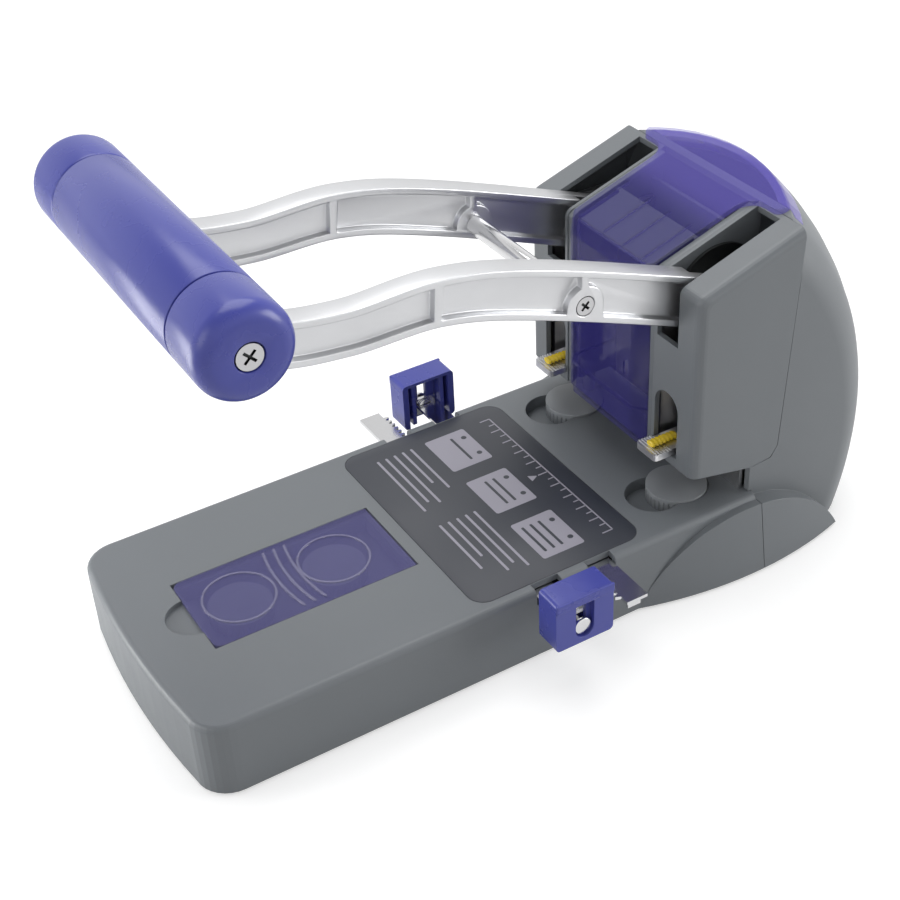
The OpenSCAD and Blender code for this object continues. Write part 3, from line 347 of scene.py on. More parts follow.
@dataclass(frozen=True)
class Finish:
    """A finish: the name of its material and the record's slot that it stands for."""

    name: str
    slot: str

    def material(self) -> bpy.types.Material:
        """Makes the finish's material the first time.

        Returns:
            The material.
        """
        if self.name in MADE:
            return MADE[self.name]
        made = bpy.data.materials.new(self.name)
        MADE[self.name] = made
        made.use_nodes = True
        graph = Graph(made.node_tree)
        shader = graph.node("BsdfPrincipled")
        out = graph.node("OutputMaterial")
        graph.link(shader.outputs[0], out.inputs["Surface"])
        self.dress(graph, shader)
        return made

    def dress(self, graph: Graph, shader: bpy.types.Node) -> None:
        """Sets the shader's sockets and links the effects to it.

        Args:
            graph: The material's graph.
            shader: The shader.
        """
        raise NotImplementedError

    @staticmethod
    def coat(graph: Graph, shader: bpy.types.Node, effect: Effect, values: dict[str, object]) -> Socket:
        """Links an effect's colour and roughness to the shader.

        Args:
            graph: The material's graph.
            shader: The shader.
            effect: The effect.
            values: Values for the effect's inputs.

        Returns:
            The socket of the effect's height.
        """
        skin = effect.place(graph, values)
        graph.link(skin.outputs["Colour"], shader.inputs["Base Color"])
        graph.link(skin.outputs["Roughness"], shader.inputs["Roughness"])
        return skin.outputs["Height"]

    @staticmethod
    def rounded(graph: Graph, edge: float) -> Socket:
        """Makes a normal in which sharp edges look rounded.

        Args:
            graph: The material's graph.
            edge: The radius to which they look rounded, in metres.

        Returns:
            The normal's socket.
        """
        return graph.node("Bevel", {"Radius": edge}, samples=ROUNDING_SAMPLES).outputs[0]

    @staticmethod
    def relief(graph: Graph, shader: bpy.types.Node, height: Socket, depth: float, edge: float = 0.0) -> None:
        """Links a height to the shader's normal.

        Args:
            graph: The material's graph.
            shader: The shader.
            height: The height's socket, from 0 to 1.
            depth: The depth of the relief in metres.
            edge: The radius to which sharp edges look rounded, in metres.
        """
        made = graph.node("Bump", {"Strength": RELIEF_STRENGTH, "Distance": depth})
        if edge > 0:
            graph.link(Finish.rounded(graph, edge), made.inputs["Normal"])
        graph.link(height, made.inputs["Height"])
        graph.link(made.outputs[0], shader.inputs["Normal"])


@dataclass(frozen=True)
class Moulding(Finish):
    """An opaque moulded plastic."""

    colour: Colour
    gloss: Gloss = Gloss.SATIN
    mottle: float = 0.05
    grain: float = 2600.0
    depth: float = 0.05 * MM
    edge: float = 0.4 * MM

    def dress(self, graph: Graph, shader: bpy.types.Node) -> None:
        """Gives the shader the moulded skin.

        Args:
            graph: The material's graph.
            shader: The shader.
        """
        low, high = self.gloss.value
        values = {"Colour": self.colour, "Mottle": self.mottle, "Grain": self.grain}
        values |= {"Rough low": low, "Rough high": high}
        height = self.coat(graph, shader, EFFECTS.moulded, values)
        self.relief(graph, shader, height, self.depth, self.edge)


@dataclass(frozen=True)
class TintedMoulding(Finish):
    """A thin clear plastic, of which each face hides a share of what lies behind it.

    Its colour may change to a second one along an axis, where the wall is thick or raised; the lid's paler
    second colour on its raised rings is a painted highlight.
    """

    colour: Colour
    hiding: float
    second_colour: Colour | None = None
    change: Span = (83 * MM, 103 * MM)
    axis: str = "Y"
    mottle: float = 0.05
    grain: float = 110.0
    edge: float = 0.5 * MM
    refraction: float = 1.49
    gloss: Gloss = Gloss.POLISHED

    def dress(self, graph: Graph, shader: bpy.types.Node) -> None:
        """Gives the shader the moulded skin and lets light through it.

        Args:
            graph: The material's graph.
            shader: The shader.
        """
        low, high = self.gloss.value
        colour: object = self.colour
        if self.second_colour:
            along = graph.node("SeparateXYZ")
            graph.link(graph.node("TexCoord").outputs["Object"], along.inputs[0])
            colour = graph.mix_colour(
                graph.ramp(along.outputs[self.axis], self.change), self.colour, self.second_colour
            )
        values = {"Colour": colour, "Mottle": self.mottle, "Grain": self.grain}
        values |= {"Rough low": low, "Rough high": high}
        self.coat(graph, shader, EFFECTS.moulded, values)
        graph.link(self.rounded(graph, self.edge), shader.inputs["Normal"])
        shader.inputs["Alpha"].default_value = self.hiding
        shader.inputs["IOR"].default_value = self.refraction


@dataclass(frozen=True)
class Metal(Finish):
    """A bare, plated or blackened metal."""

    colour: Colour
    rough: Span
    grain: float = 3000.0
    depth: float = 0.02 * MM

    def dress(self, graph: Graph, shader: bpy.types.Node) -> None:
        """Gives the shader the metal skin.

        Args:
            graph: The material's graph.
            shader: The shader.
        """
        low, high = self.rough
        values = {"Colour": self.colour, "Grain": self.grain, "Rough low": low, "Rough high": high}
        height = self.coat(graph, shader, EFFECTS.metal, values)
        shader.inputs["Metallic"].default_value = 1.0
        self.relief(graph, shader, height, self.depth)


SLATE = Moulding("slate_plastic", "grey_plastic", (0.15, 0.163, 0.175))
DISC_GREY = Moulding("disc_moulding", "disc_plastic", (0.28, 0.296, 0.312))
BLUE = Moulding(
    "blue_moulding", "blue_plastic", (0.056, 0.066, 0.325), Gloss.SMOOTH,
    mottle=0.03, grain=2200.0, depth=0.02 * MM,
)
VIOLET = TintedMoulding(
    "violet_cover", "violet_clear", (0.058, 0.05, 0.27), hiding=0.33, second_colour=(0.17, 0.14, 0.6)
)
# The rear lip's paler lavender is painted light: it stands in for the lip lit from behind.
LIP_VIOLET = TintedMoulding("violet_lip_painted_backlight", "violet_clear", (0.2, 0.17, 0.5), hiding=0.7)
# The paler second colour above the lid's face is a painted highlight along its raised rings.
LID_VIOLET = TintedMoulding(
    "violet_lid_painted_ring_highlight", "violet_clear", (0.12, 0.115, 0.3), hiding=0.46,
    second_colour=(0.32, 0.31, 0.48), change=(37.1 * MM, 37.4 * MM), axis="Z",
)
CHROME = Metal("bright_plating", "chrome", (0.74, 0.74, 0.75), (0.08, 0.2))
SATIN_PLATING = Metal("satin_plating", "chrome", (0.78, 0.78, 0.79), (0.28, 0.4))
STEEL = Metal("bright_steel", "steel", (0.56, 0.56, 0.57), (0.24, 0.4))
ALLOY = Metal("arm_casting", "cast_alloy", (0.66, 0.665, 0.68), (0.3, 0.42), grain=2400.0, depth=0.05 * MM)
LABEL_FILM = Moulding(
    "label_sheet", "label_film", (0.034, 0.038, 0.05), mottle=0.03, grain=1500.0, depth=0.01 * MM
)
PALE_INK = Moulding(
    "pale_ink", "label_film", (0.30, 0.29, 0.34), mottle=0.04, grain=1800.0, depth=0.01 * MM, edge=0.0
)
RUBBER = Moulding("foot_rubber", "rubber", (0.02, 0.02, 0.021), Gloss.MATT, mottle=0.1)
DARK = Moulding("dark_moulding", "dark_plastic", (0.03, 0.031, 0.034), Gloss.MATT)
# Blackened steel for the friction discs; on the screws it paints the shade down in the cross recesses.
DARK_METAL = Metal("blackened_steel_and_recess_shade", "dark_metal", (0.07, 0.075, 0.075), (0.4, 0.55))
BRASS = Metal("turned_brass", "bush_brass", (0.72, 0.53, 0.25), (0.25, 0.4))
YELLOW = Moulding("yellow_moulding", "yellow_plastic", (0.8, 0.58, 0.03), Gloss.SMOOTH)


class Bench:
    """Modelling by Blender's own operators, one piece at a time."""

    # The angle in degrees up to which faces count as one plane.
    FLAT_ANGLE = 0.4
    # How far a face's normal points along an axis for the face to count as facing it.
    FACING = 0.5

    @staticmethod
    def pick(piece: Piece) -> None:
        """Leaves only one piece selected and active.

        Args:
            piece: The piece.
        """
        if bpy.context.mode != "OBJECT":
            bpy.ops.object.mode_set(mode="OBJECT")
        bpy.ops.object.select_all(action="DESELECT")
        piece.select_set(True)
        bpy.context.view_layer.objects.active = piece

    @staticmethod
    def apply(piece: Piece, kind: str, **settings: object) -> None:
        """Adds a modifier and applies it.

        Args:
            piece: The piece.
            kind: The modifier's type.
            settings: The modifier's settings.
        """
        Bench.pick(piece)
        modifier = piece.modifiers.new(kind.lower(), kind)
        for key, value in settings.items():
            setattr(modifier, key, value)
        bpy.ops.object.modifier_apply(modifier=modifier.name)

    @staticmethod
    def soften(piece: Piece, width: float, segments: int = 2, angle: float = 32.0) -> None:
        """Rounds the sharp edges of a piece and smooths its shading.

        Args:
            piece: The piece.
            width: The width of the rounding in metres, or 0 to smooth the shading alone.
            segments: The number of facets across a rounding.
            angle: The least angle of an edge that counts as sharp, in degrees.
        """
        if width > 0:
            Bench.apply(
                piece,
                "BEVEL",
                width=width,
                segments=segments,
                limit_method="ANGLE",
                angle_limit=math.radians(angle),
                use_clamp_overlap=False,
                loop_slide=False,
                miter_outer="MITER_ARC",
            )
        Bench.pick(piece)
        bpy.ops.object.shade_smooth_by_angle(angle=math.radians(angle))

    @staticmethod
    def copy_of(node: str, name: str, flat: bool = True, merge: float = 0.002 * MM) -> Piece:
        """Copies a node of the construction as a clean mesh.

        Args:
            node: The node's name.
            name: The new piece's name.
            flat: Whether triangles that lie in one plane become one face.
            merge: How near corners are to be to become one, in metres.

        Returns:
            The new piece.
        """
        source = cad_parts[node]
        piece = source.copy()
        piece.data = source.data.copy()
        piece.parent = None
        for key in list(piece.keys()):
            del piece[key]
        piece.name = name
        bpy.context.scene.collection.objects.link(piece)
        piece.hide_render = False
        piece.hide_viewport = False
        Bench.pick(piece)
        bpy.ops.object.mode_set(mode="EDIT")
        bpy.ops.mesh.select_all(action="SELECT")
        bpy.ops.mesh.customdata_custom_splitnormals_clear()
        bpy.ops.mesh.remove_doubles(threshold=merge)
        if flat:
            bpy.ops.mesh.dissolve_limited(angle_limit=math.radians(Bench.FLAT_ANGLE))
        bpy.ops.object.mode_set(mode="OBJECT")
        return piece

    @staticmethod
    def settle(piece: Piece, body: str, finish: Finish, *nodes: str) -> None:
        """Gives a piece its finish and its place in the assembly.

        Args:
            piece: The piece.
            body: The body that it moves with.
            finish: Its finish.
            nodes: The nodes that it stands for.
        """
        piece.data.materials.clear()
        piece.data.materials.append(finish.material())
        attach(piece, body)
        if nodes:
            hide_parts(*nodes)
        log.info("%s rides on %s", piece.name, body)

    @staticmethod
    def refine(node: str, body: str, finish: Finish, width: float, segments: int = 2) -> None:
        """Stands a softened copy in for a node.

        Args:
            node: The node.
            body: The body that it moves with.
            finish: Its finish.
            width: The width of the rounding along its sharp edges, in metres.
            segments: The number of facets across a rounding.
        """
        piece = Bench.copy_of(node, node + "_dressed")
        Bench.soften(piece, width, segments)
        Bench.settle(piece, body, finish, node)

    @staticmethod
    def edit(piece: Piece) -> None:
        """Opens a piece in edit mode with everything selected.

        Args:
            piece: The piece.
        """
        Bench.pick(piece)
        bpy.ops.object.mode_set(mode="EDIT")
        bpy.ops.mesh.select_mode(type="VERT")
        bpy.ops.mesh.select_all(action="SELECT")

    @staticmethod
    def choose(piece: Piece, wanted: Callable[[bpy.types.MeshPolygon], bool]) -> None:
        """Opens a piece in edit mode with only the wanted faces selected.

        Args:
            piece: The piece.
            wanted: Says of a face whether it is wanted.
        """
        Bench.edit(piece)
        bpy.ops.mesh.select_mode(type="FACE")
        bpy.ops.mesh.select_all(action="DESELECT")
        bpy.ops.object.mode_set(mode="OBJECT")
        for face in piece.data.polygons:
            face.select = wanted(face)
        bpy.ops.object.mode_set(mode="EDIT")

    @staticmethod
    def pull(offset: Sequence[float]) -> None:
        """Extrudes what is selected in edit mode.

        Args:
            offset: How far it goes along X, Y and Z.
        """
        bpy.ops.mesh.extrude_region_move(TRANSFORM_OT_translate={"value": offset})

    @staticmethod
    def close(piece: Piece, outward: bool = True) -> None:
        """Leaves edit mode, with the faces turned outwards and the piece's place kept in its mesh.

        Args:
            piece: The piece.
            outward: Whether the faces are turned outwards first.
        """
        if bpy.context.mode != "EDIT_MESH":
            Bench.edit(piece)
        if outward:
            bpy.ops.mesh.select_all(action="SELECT")
            bpy.ops.mesh.normals_make_consistent(inside=False)
        bpy.ops.object.mode_set(mode="OBJECT")
        Bench.pick(piece)
        bpy.ops.object.transform_apply(location=True, rotation=True, scale=True)

    @staticmethod
    def block(size: Sequence[float], place: Sequence[float]) -> Piece:
        """Makes a box and leaves it open in edit mode.

        Args:
            size: Its size along X, Y and Z.
            place: Its middle.

        Returns:
            The new piece.
        """
        bpy.ops.object.select_all(action="DESELECT")
        bpy.ops.mesh.primitive_cube_add(size=1.0, location=place)
        piece = bpy.context.object
        Bench.edit(piece)
        bpy.ops.transform.resize(value=size)
        return piece

    @staticmethod
    def join(pieces: Sequence[Piece], name: str) -> Piece:
        """Joins pieces into one.

        Args:
            pieces: The pieces, of which the first takes in the rest.
            name: The joined piece's name.

        Returns:
            The joined piece.
        """
        Bench.pick(pieces[0])
        for piece in pieces[1:]:
            piece.select_set(True)
        bpy.ops.object.join()
        pieces[0].name = name
        return pieces[0]

    @staticmethod
    def dress(nodes: Iterable[str], finish: Finish) -> None:
        """Gives nodes of the construction a finish as they are.

        Args:
            nodes: The nodes.
            finish: Their finish.
        """
        for name in nodes:
            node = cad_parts[name]
            node.data.materials.clear()
            node.data.materials.append(finish.material())
            log.info("%s keeps its shape", name)


@dataclass
class Base:
    """The moulded base with its floor plate, feet, label, lid and discs."""

    label_edge: float = 0.12 * MM

    def build(self) -> None:
        """Builds the base."""
        Bench.dress(["base_shell"], SLATE)
        Bench.dress(["base_plate", "base_screws", "tray_screws", "back_stop"], STEEL)
        Bench.dress(["rubber_feet"], RUBBER)
        Bench.dress(["spare_discs", "cutting_disc_left", "cutting_disc_right"], DISC_GREY)
        Bench.dress(["storage_lid"], LID_VIOLET)
        Bench.refine("label_plate", "chassis", LABEL_FILM, self.label_edge)


@dataclass
class LabelPrint:
    """The plain print on the label: a centring scale, three sheets with two holes, and bars.

    Places are along Y from the label's middle.
    """

    lift: float = 0.02 * MM
    film: float = 0.03 * MM
    line: float = 0.7 * MM
    scale_half: float = 50 * MM
    scale_step: float = 5 * MM
    scale_place: float = 33 * MM
    tick_long: float = 5.2 * MM
    tick_short: float = 3.2 * MM
    pointer_place: float = 24.6 * MM
    pointer_radius: float = 2.6 * MM
    pointer_round: float = 0.4 * MM
    sheet: Span = (27 * MM, 21 * MM)
    sheet_count: int = 3
    sheet_pitch: float = 37 * MM
    sheet_place: float = 8 * MM
    sheet_round: float = 1.2 * MM
    hole_half: float = 7 * MM
    hole_place: float = 15.2 * MM
    hole_radius: float = 1.3 * MM
    hole_corners: int = 24
    row_place: float = 9.6 * MM
    row_pitch: float = 4.2 * MM
    row_margin: float = 8 * MM
    row_deep: float = 1.3 * MM
    bar_lengths: tuple[float, ...] = (44 * MM, 39 * MM, 42 * MM, 28 * MM, 35 * MM)
    bar_half: float = 28 * MM
    bar_start: float = 22 * MM
    bar_place: float = -10 * MM
    bar_pitch: float = 4.4 * MM
    bar_deep: float = 1.2 * MM
    bar_round: float = 0.5 * MM
    middle: Vector = field(default_factory=Vector)

    def build(self) -> None:
        """Builds the print on top of the label."""
        low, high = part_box("label_plate")
        self.middle = Vector(((low[0] + high[0]) / 2, (low[1] + high[1]) / 2, high[2]))
        pale = self.scale()
        dark: list[Piece] = []
        for number in range(self.sheet_count):
            across = (number - (self.sheet_count - 1) / 2) * self.sheet_pitch
            pale.append(self.patch(across, self.sheet_place, *self.sheet, self.sheet_round))
            dark += self.marks(across, number + 1)
        pale += self.bars()
        for pieces, name, finish in ((pale, "label_print", PALE_INK), (dark, "label_holes", LABEL_FILM)):
            Bench.settle(Bench.join(pieces, name), "chassis", finish)

    def scale(self) -> list[Piece]:
        """Prints the centring scale with its pointer.

        Returns:
            The pieces.
        """
        pieces = [self.patch(0.0, self.scale_place, 2 * self.scale_half, self.line)]
        ticks = int(self.scale_half / self.scale_step)
        for step in range(-ticks, ticks + 1):
            length = self.tick_long if step % 2 == 0 else self.tick_short
            along = self.scale_place - length / 2
            pieces.append(self.patch(step * self.scale_step, along, self.line, length))
        pieces.append(self.spot(0.0, self.pointer_place, self.pointer_radius, 3, corner=self.pointer_round))
        return pieces

    def marks(self, across: float, rows: int) -> list[Piece]:
        """Prints the two holes and the rows on a sheet.

        Args:
            across: The sheet's middle along X from the label's middle.
            rows: The number of rows.

        Returns:
            The pieces.
        """
        hole = (self.hole_place, self.hole_radius, self.hole_corners, self.film)
        pieces = [self.spot(across + sign * self.hole_half, *hole) for sign in (-1, 1)]
        wide = self.sheet[0] - self.row_margin
        for row in range(rows):
            along = self.row_place - self.row_pitch * row
            pieces.append(self.patch(across, along, wide, self.row_deep, self.bar_round, self.film))
        return pieces

    def bars(self) -> list[Piece]:
        """Prints two columns of bars.

        Returns:
            The pieces.
        """
        pieces = []
        for column in (-1, 1):
            for row, length in enumerate(self.bar_lengths[::column]):
                across = column * self.bar_half - self.bar_start + length / 2
                along = self.bar_place - self.bar_pitch * row
                pieces.append(self.patch(across, along, length, self.bar_deep, self.bar_round))
        return pieces

    def ink(self, piece: Piece, corner: float, segments: int) -> Piece:
        """Rounds the corners of a flat outline and gives it the thickness of the ink.

        Args:
            piece: The outline, open in edit mode.
            corner: The radius of its corners.
            segments: The number of steps round a corner.

        Returns:
            The piece.
        """
        if corner > 0:
            bpy.ops.mesh.bevel(offset=corner, segments=segments, affect="VERTICES")
        bpy.ops.mesh.select_all(action="SELECT")
        Bench.pull((0.0, 0.0, self.film))
        Bench.close(piece)
        return piece

    def patch(
        self, across: float, along: float, wide: float, deep: float, corner: float = 0.0, above: float = 0.0
    ) -> Piece:
        """Prints a filled bar or sheet.

        Args:
            across: Its middle along X from the label's middle.
            along: Its middle along Y from the label's middle.
            wide: Its size along X.
            deep: Its size along Y.
            corner: The radius of its corners.
            above: How far it lies above the first layer of ink.

        Returns:
            The piece.
        """
        place = self.middle + Vector((across, along, self.lift + above))
        bpy.ops.object.select_all(action="DESELECT")
        bpy.ops.mesh.primitive_plane_add(size=1.0, location=place)
        piece = bpy.context.object
        Bench.edit(piece)
        bpy.ops.transform.resize(value=(wide, deep, 1.0))
        return self.ink(piece, corner, 4)

    def spot(
        self,
        across: float,
        along: float,
        radius: float,
        corners: int,
        above: float = 0.0,
        corner: float = 0.0,
    ) -> Piece:
        """Prints a filled regular polygon: a round hole or the pointer.

        Args:
            across: Its middle along X from the label's middle.
            along: Its middle along Y from the label's middle.
            radius: Its radius.
            corners: The number of its corners.
            above: How far it lies above the first layer of ink.
            corner: The radius of its corners.

        Returns:
            The piece.
        """
        place = self.middle + Vector((across, along, self.lift + above))
        bpy.ops.object.select_all(action="DESELECT")
        bpy.ops.mesh.primitive_circle_add(vertices=corners, radius=radius, fill_type="NGON", location=place)
        piece = bpy.context.object
        Bench.edit(piece)
        return self.ink(piece, corner, 2)


@dataclass
class PaperGuide:
    """The two guide strips with their stops, tray and pinion."""

    lip_out: float = 0.9 * MM
    lip_in: float = 0.4 * MM
    lip_high: float = 4.4 * MM
    lip_drop: float = 0.05 * MM
    lip_clear: float = 0.1 * MM
    lip_round: float = 0.5 * MM
    rivet_edge: float = 0.4 * MM

    def lip(self, side: str) -> Piece:
        """Models the lip that overhangs a stop's outer face.

        Args:
            side: The stop's side.

        Returns:
            The lip, before it joins the stop.
        """
        sign = SIDES[side]
        low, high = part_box(f"paper_stop_{side}")
        face = high[0] if sign > 0 else low[0]
        wide = self.lip_out + self.lip_in
        across = face + sign * (self.lip_out - wide / 2)
        middle_z = high[2] - self.lip_drop - self.lip_high / 2
        piece = Bench.block(
            (wide, high[1] - low[1] - self.lip_clear, self.lip_high),
            (across, (low[1] + high[1]) / 2, middle_z),
        )
        bpy.ops.mesh.bevel(offset=self.lip_round, segments=4, affect="EDGES")
        Bench.close(piece)
        return piece

    def build(self) -> None:
        """Builds the guide."""
        Bench.dress(["rack_tray"], DARK)
        Bench.dress(["rack_pinion", "pinion_pin"], STEEL)
        for strip, side in (("front", "right"), ("rear", "left")):
            Bench.dress([f"rack_{strip}"], CHROME)
            Bench.refine(f"stop_rivet_{side}", f"guide_{strip}", CHROME, self.rivet_edge, 3)
            stop = Bench.copy_of(f"paper_stop_{side}", f"paper_stop_{side}_dressed", False)
            Bench.soften(stop, 0.0)
            stop = Bench.join([stop, self.lip(side)], stop.name)
            Bench.settle(stop, f"stop_{side}", BLUE, f"paper_stop_{side}")


@dataclass
class Head:
    """The towers with their trim, the back and the tinted covers."""

    trim_in: float = 28.75 * MM
    trim_out: float = 32.2 * MM
    trim_front: float = 60.5 * MM
    trim_bend: float = 64.1 * MM
    trim_rear: float = 110.0 * MM
    trim_low: float = 58.0 * MM
    trim_thick: float = 2.6 * MM
    trim_edge: float = 0.25 * MM
    bend_top: float = 145.54 * MM
    bend_fall: float = 0.7
    slope: float = math.tan(math.radians(17.8))

    def trim(self, side: str) -> None:
        """Models the narrow trim between a tower and the centre cover, down the slope and the front.

        Args:
            side: The tower's side.
        """
        run = self.trim_rear - self.trim_bend
        lean = self.trim_bend - self.trim_front
        across = SIDES[side] * (self.trim_in + self.trim_out) / 2
        piece = Bench.block(
            (self.trim_out - self.trim_in, run, self.trim_thick),
            (across, (self.trim_rear + self.trim_bend) / 2, self.bend_top - self.trim_thick / 2),
        )
        piece.name = f"tower_trim_{side}"
        Bench.close(piece)
        Bench.choose(piece, lambda face: face.normal.y > Bench.FACING)
        bpy.ops.transform.translate(value=(0.0, 0.0, run * self.slope))
        Bench.choose(piece, lambda face: face.normal.y < -Bench.FACING)
        Bench.pull((0.0, -lean, -self.bend_fall * lean))
        Bench.choose(piece, lambda face: face.normal.z < -Bench.FACING and face.center.y < self.trim_bend)
        fall = self.bend_top - self.trim_thick - self.bend_fall / 2 * lean - self.trim_low
        Bench.pull((0.0, 0.0, -fall))
        Bench.close(piece)
        Bench.soften(piece, self.trim_edge)
        Bench.settle(piece, "chassis", SLATE)

    def build(self) -> None:
        """Builds the head."""
        Bench.dress(["head_shell"], SLATE)
        back = Bench.copy_of("back_cover", "back_cover_dressed", False)
        Bench.soften(back, 0.0)
        Bench.settle(back, "chassis", SLATE, "back_cover")
        for side in SIDES:
            self.trim(side)
        Bench.dress(["centre_cover", "cover_foot"], VIOLET)
        Bench.dress(["rear_strip"], LIP_VIOLET)
        Bench.dress(["friction_discs"], DARK_METAL)


@dataclass
class PunchGear:
    """The frames, pins, holders, springs and release tabs."""

    wire: float = 1.1 * MM
    wire_facets: int = 10
    turns: int = 5
    turn_steps: int = 28
    spring_angle: float = 50.0
    nub_facets: int = 28
    nub_ridges: int = 7
    nub_steps: int = 4
    nub_valley: float = 0.84
    nub_angle: float = 40.0
    holder_edge: float = 0.25 * MM

    def spring(self, side: str) -> None:
        """Winds a return spring from a ring of wire.

        Args:
            side: The side that it stands on.
        """
        low, high = (Vector(corner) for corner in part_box(f"return_spring_{side}"))
        middle = (low + high) / 2
        radius = (high.x - low.x - self.wire) / 2
        bpy.ops.object.select_all(action="DESELECT")
        bpy.ops.mesh.primitive_circle_add(
            vertices=self.wire_facets,
            radius=self.wire / 2,
            location=(radius, 0.0, 0.0),
            rotation=(math.pi / 2, 0.0, 0.0),
        )
        piece = bpy.context.object
        piece.name = f"return_spring_{side}_wound"
        Bench.close(piece, False)
        Bench.apply(
            piece,
            "SCREW",
            angle=self.turns * math.tau,
            screw_offset=high.z - low.z - self.wire,
            steps=self.turn_steps * self.turns,
            render_steps=self.turn_steps * self.turns,
            use_merge_vertices=False,
        )
        Bench.edit(piece)
        bpy.ops.mesh.select_all(action="DESELECT")
        bpy.ops.mesh.select_non_manifold(extend=False)
        bpy.ops.mesh.fill_holes(sides=0)
        bpy.ops.mesh.select_all(action="SELECT")
        bpy.ops.transform.translate(value=(middle.x, middle.y, low.z + self.wire / 2))
        Bench.close(piece)
        bpy.ops.object.shade_smooth_by_angle(angle=math.radians(self.spring_angle))
        piece.data.materials.append(STEEL.material())
        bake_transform(piece)
        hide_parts(f"return_spring_{side}")
        log.info("%s stretches with punch_%s", piece.name, side)

    def nub(self, side: str) -> None:
        """Models a nub as a flat barrel with ridges round it, drawn from its front end to its rear.

        Args:
            side: The side that it sits on.
        """
        low, high = (Vector(corner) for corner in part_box(f"lock_nub_{side}"))
        middle = (low + high) / 2
        radius = (high.z - low.z) / 2
        steps = self.nub_steps * self.nub_ridges
        bpy.ops.object.select_all(action="DESELECT")
        bpy.ops.mesh.primitive_circle_add(
            vertices=self.nub_facets,
            radius=radius,
            fill_type="NGON",
            location=(middle.x, low.y, middle.z),
            rotation=(math.pi / 2, 0.0, 0.0),
        )
        piece = bpy.context.object
        piece.name = f"lock_nub_{side}_ridged"
        Bench.edit(piece)
        bpy.ops.transform.resize(value=((high.x - low.x) / (2 * radius), 1.0, 1.0))
        bpy.ops.transform.resize(value=(self.nub_valley, 1.0, self.nub_valley))
        growth = {0: 1.0 / self.nub_valley, self.nub_steps // 2: self.nub_valley}
        for number in range(steps):
            Bench.pull((0.0, (high.y - low.y) / steps, 0.0))
            grow = growth.get(number % self.nub_steps, 1.0)
            bpy.ops.transform.resize(value=(grow, 1.0, grow))
        Bench.close(piece)
        Bench.soften(piece, 0.0, angle=self.nub_angle)
        Bench.settle(piece, f"tab_{side}", YELLOW, f"lock_nub_{side}")

    def build(self) -> None:
        """Builds the punching gear."""
        Bench.dress(["pin_bushes"], BRASS)
        for side in SIDES:
            Bench.dress([f"frame_{side}", f"pin_{side}", f"cam_{side}"], STEEL)
            self.spring(side)
            Bench.refine(f"punch_holder_{side}", f"punch_{side}", SATIN_PLATING, self.holder_edge)
            Bench.dress([f"release_tab_{side}"], SATIN_PLATING)
            self.nub(side)


@dataclass
class Lever:
    """The arms, the tie rod and the handle."""

    recess_start: float = 0.05 * MM
    recess_end: float = 1.7 * MM
    recess_reach: float = 3.0 * MM
    arm_edge: float = 0.5 * MM
    arm_merge: float = 0.12 * MM
    handle_edge: float = 0.4 * MM
    rod_edge: float = 0.3 * MM

    def screws(self, node: str) -> None:
        """Stands smoothly shaded screws in for a node's, with painted shade in the cross recesses: the faces
        down in them take the dark metal.

        Args:
            node: The node of the two screws.
        """
        piece = Bench.copy_of(node, node + "_dressed")
        Bench.soften(piece, 0.0)
        Bench.settle(piece, "lever", STEEL, node)
        piece.data.materials.append(DARK_METAL.material())
        low, high = (Vector(corner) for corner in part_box(node))
        middle = (low + high) / 2
        # Faces down in a cross recess take the dark metal: painted shade where the recess lies in shadow.
        for face in piece.data.polygons:
            spot = face.center - middle
            deep = high.x - middle.x - abs(spot.x)
            near = math.hypot(spot.y, spot.z) < self.recess_reach
            if near and self.recess_start < deep < self.recess_end:
                face.material_index = 1

    def build(self) -> None:
        """Builds the lever."""
        Bench.dress(["pivot_shaft", "pivot_spacers", "handle_core"], STEEL)
        for side in SIDES:
            arm = Bench.copy_of(f"lever_arm_{side}", f"lever_arm_{side}_dressed", True, self.arm_merge)
            Bench.soften(arm, self.arm_edge, 3)
            Bench.settle(arm, "lever", ALLOY, f"lever_arm_{side}")
            Bench.refine(f"handle_cap_{side}", "lever", BLUE, self.handle_edge)
        Bench.refine("handle_tube", "lever", BLUE, self.handle_edge)
        Bench.refine("tie_rod", "lever", CHROME, self.rod_edge)
        for node in ("tie_rod_screws", "handle_screws"):
            self.screws(node)


@dataclass(frozen=True)
class Softbox:
    """A square lamp that faces a point, with the length of its side in metres and its power in watts."""

    name: str
    place: Point
    target: Point
    size: float
    power: float

    def hang(self) -> None:
        """Hangs the lamp."""
        bpy.ops.object.light_add(type="AREA", location=self.place)
        lamp = bpy.context.object
        lamp.name = self.name
        lamp.data.size = self.size
        lamp.data.energy = self.power
        aim = Vector(self.target) - Vector(self.place)
        lamp.rotation_euler = aim.to_track_quat("-Z", "Y").to_euler()


SOFTBOXES = (
    Softbox("overhead_softbox", (-0.35, 0.25, 1.5), (0.0, 0.0, 0.05), 1.3, 17.5),
    Softbox("front_softbox", (0.3, -1.8, 0.9), (0.0, 0.0, 0.08), 1.0, 5.0),
    Softbox("side_softbox", (1.0, 1.5, 0.5), (0.0, 0.08, 0.08), 0.9, 15.0),
    Softbox("low_softbox", (-0.14, -0.4, 0.07), (-0.02, -0.17, 0.02), 0.22, 0.8),
)


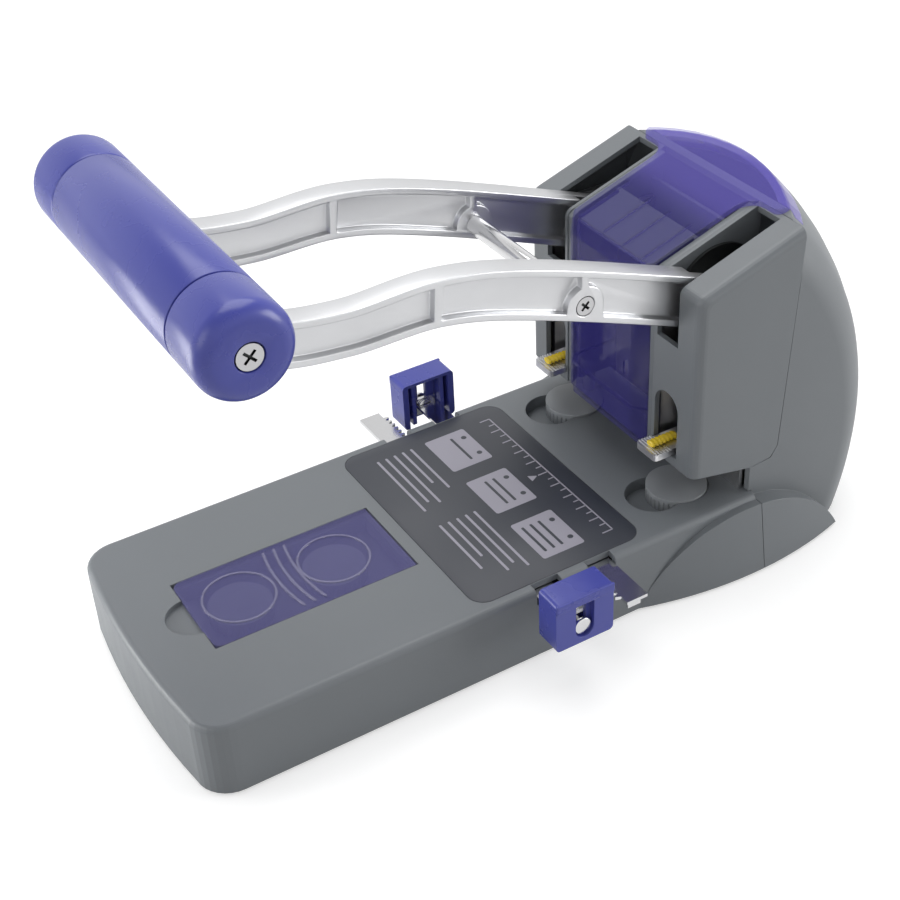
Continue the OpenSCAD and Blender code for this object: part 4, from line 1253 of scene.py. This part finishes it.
@dataclass
class Studio:
    """The pale floor, the lamps and the camera, with angles in degrees."""

    azimuth: float = 60.87
    elevation: float = 36.09
    roll: float = -3.15
    target: Point = (0.0, -0.0229, 0.0698)
    distance: float = 0.69819
    lens: float = 65.11
    sensor: float = 36.0
    clip: Span = (0.01, 50.0)
    floor_size: float = 8.0
    floor_shade: float = 0.6
    floor_glow: float = 0.3
    floor_lift: float = 0.2
    fill: float = 0.46
    ceiling: float = 0.22
    wall_top: Span = (0.4, 0.95)

    def build(self) -> None:
        """Builds the studio."""
        self.camera()
        self.floor()
        self.world()
        for lamp in SOFTBOXES:
            lamp.hang()
        bpy.context.scene.view_settings.view_transform = "Standard"

    def camera(self) -> None:
        """Stands the camera at the photograph's viewing angle."""
        turn, tilt, lean = (math.radians(value) for value in (self.azimuth, self.elevation, self.roll))
        back = Vector((math.sin(turn) * math.cos(tilt), -math.cos(turn) * math.cos(tilt), math.sin(tilt)))
        right = Vector((math.cos(turn), math.sin(turn), 0.0))
        up = back.cross(right)
        leaning_right = math.cos(lean) * right + math.sin(lean) * up
        leaning_up = -math.sin(lean) * right + math.cos(lean) * up
        bpy.ops.object.camera_add()
        camera = bpy.context.object
        camera.name = "photo_camera"
        place = Matrix((leaning_right, leaning_up, back)).transposed().to_4x4()
        place.translation = Vector(self.target) + self.distance * back
        camera.matrix_world = place
        camera.data.lens = self.lens
        camera.data.sensor_width = self.sensor
        camera.data.clip_start, camera.data.clip_end = self.clip
        bpy.context.scene.camera = camera

    def seen(self, graph: Graph) -> Socket:
        """Tells the rays that show the background, straight or in metal and glass.

        Args:
            graph: The graph of the floor's material or of the world.

        Returns:
            A socket that is 1 for these rays and 0 for others.
        """
        path = graph.node("LightPath").outputs
        straight = graph.math("MAXIMUM", path["Is Camera Ray"], path["Is Glossy Ray"])
        return graph.math("MAXIMUM", straight, path["Is Transmission Ray"])

    def floor(self) -> None:
        """Lays a pale floor that reads as white to the camera and keeps the shadow."""
        bpy.ops.object.select_all(action="DESELECT")
        bpy.ops.mesh.primitive_plane_add(size=self.floor_size)
        floor = bpy.context.object
        floor.name = "studio_floor"
        made = bpy.data.materials.new("pale_floor")
        made.use_nodes = True
        graph = Graph(made.node_tree)
        shader = graph.node("BsdfDiffuse")
        graph.feed(shader.inputs["Color"], (self.floor_shade,) * 3)
        glow = graph.node("Emission")
        lift = graph.math("MULTIPLY", graph.node("LightPath").outputs["Is Camera Ray"], self.floor_lift)
        strength = graph.math("MULTIPLY_ADD", self.seen(graph), self.floor_glow, lift)
        graph.link(strength, glow.inputs["Strength"])
        both = graph.node("AddShader")
        out = graph.node("OutputMaterial")
        graph.link(shader.outputs[0], both.inputs[0])
        graph.link(glow.outputs[0], both.inputs[1])
        graph.link(both.outputs[0], out.inputs["Surface"])
        floor.data.materials.append(made)

    def world(self) -> None:
        """Lights the room softly, and shows walls that go from white at the floor to grey overhead."""
        world = bpy.data.worlds.new("studio_world")
        bpy.context.scene.world = world
        world.use_nodes = True
        graph = Graph(world.node_tree)
        height = graph.node("SeparateXYZ")
        graph.link(graph.node("TexCoord").outputs["Generated"], height.inputs[0])
        soft = graph.node("Background", {"Color": (*WHITE, 1.0), "Strength": self.fill})
        room = graph.node("Background", {"Strength": 1.0})
        walls = graph.mix_colour(graph.ramp(height.outputs["Z"], self.wall_top), WHITE, (self.ceiling,) * 3)
        graph.link(walls, room.inputs["Color"])
        mix = graph.node("MixShader")
        out = graph.node("OutputWorld")
        graph.link(self.seen(graph), mix.inputs[0])
        graph.link(soft.outputs[0], mix.inputs[1])
        graph.link(room.outputs[0], mix.inputs[2])
        graph.link(mix.outputs[0], out.inputs["Surface"])


def main() -> None:
    """Builds the punch and its studio."""
    logging.basicConfig(level=logging.INFO)
    for assembly in (Studio(), Base(), LabelPrint(), PaperGuide(), Head(), PunchGear(), Lever()):
        assembly.build()


if __name__ == "__main__":
    main()
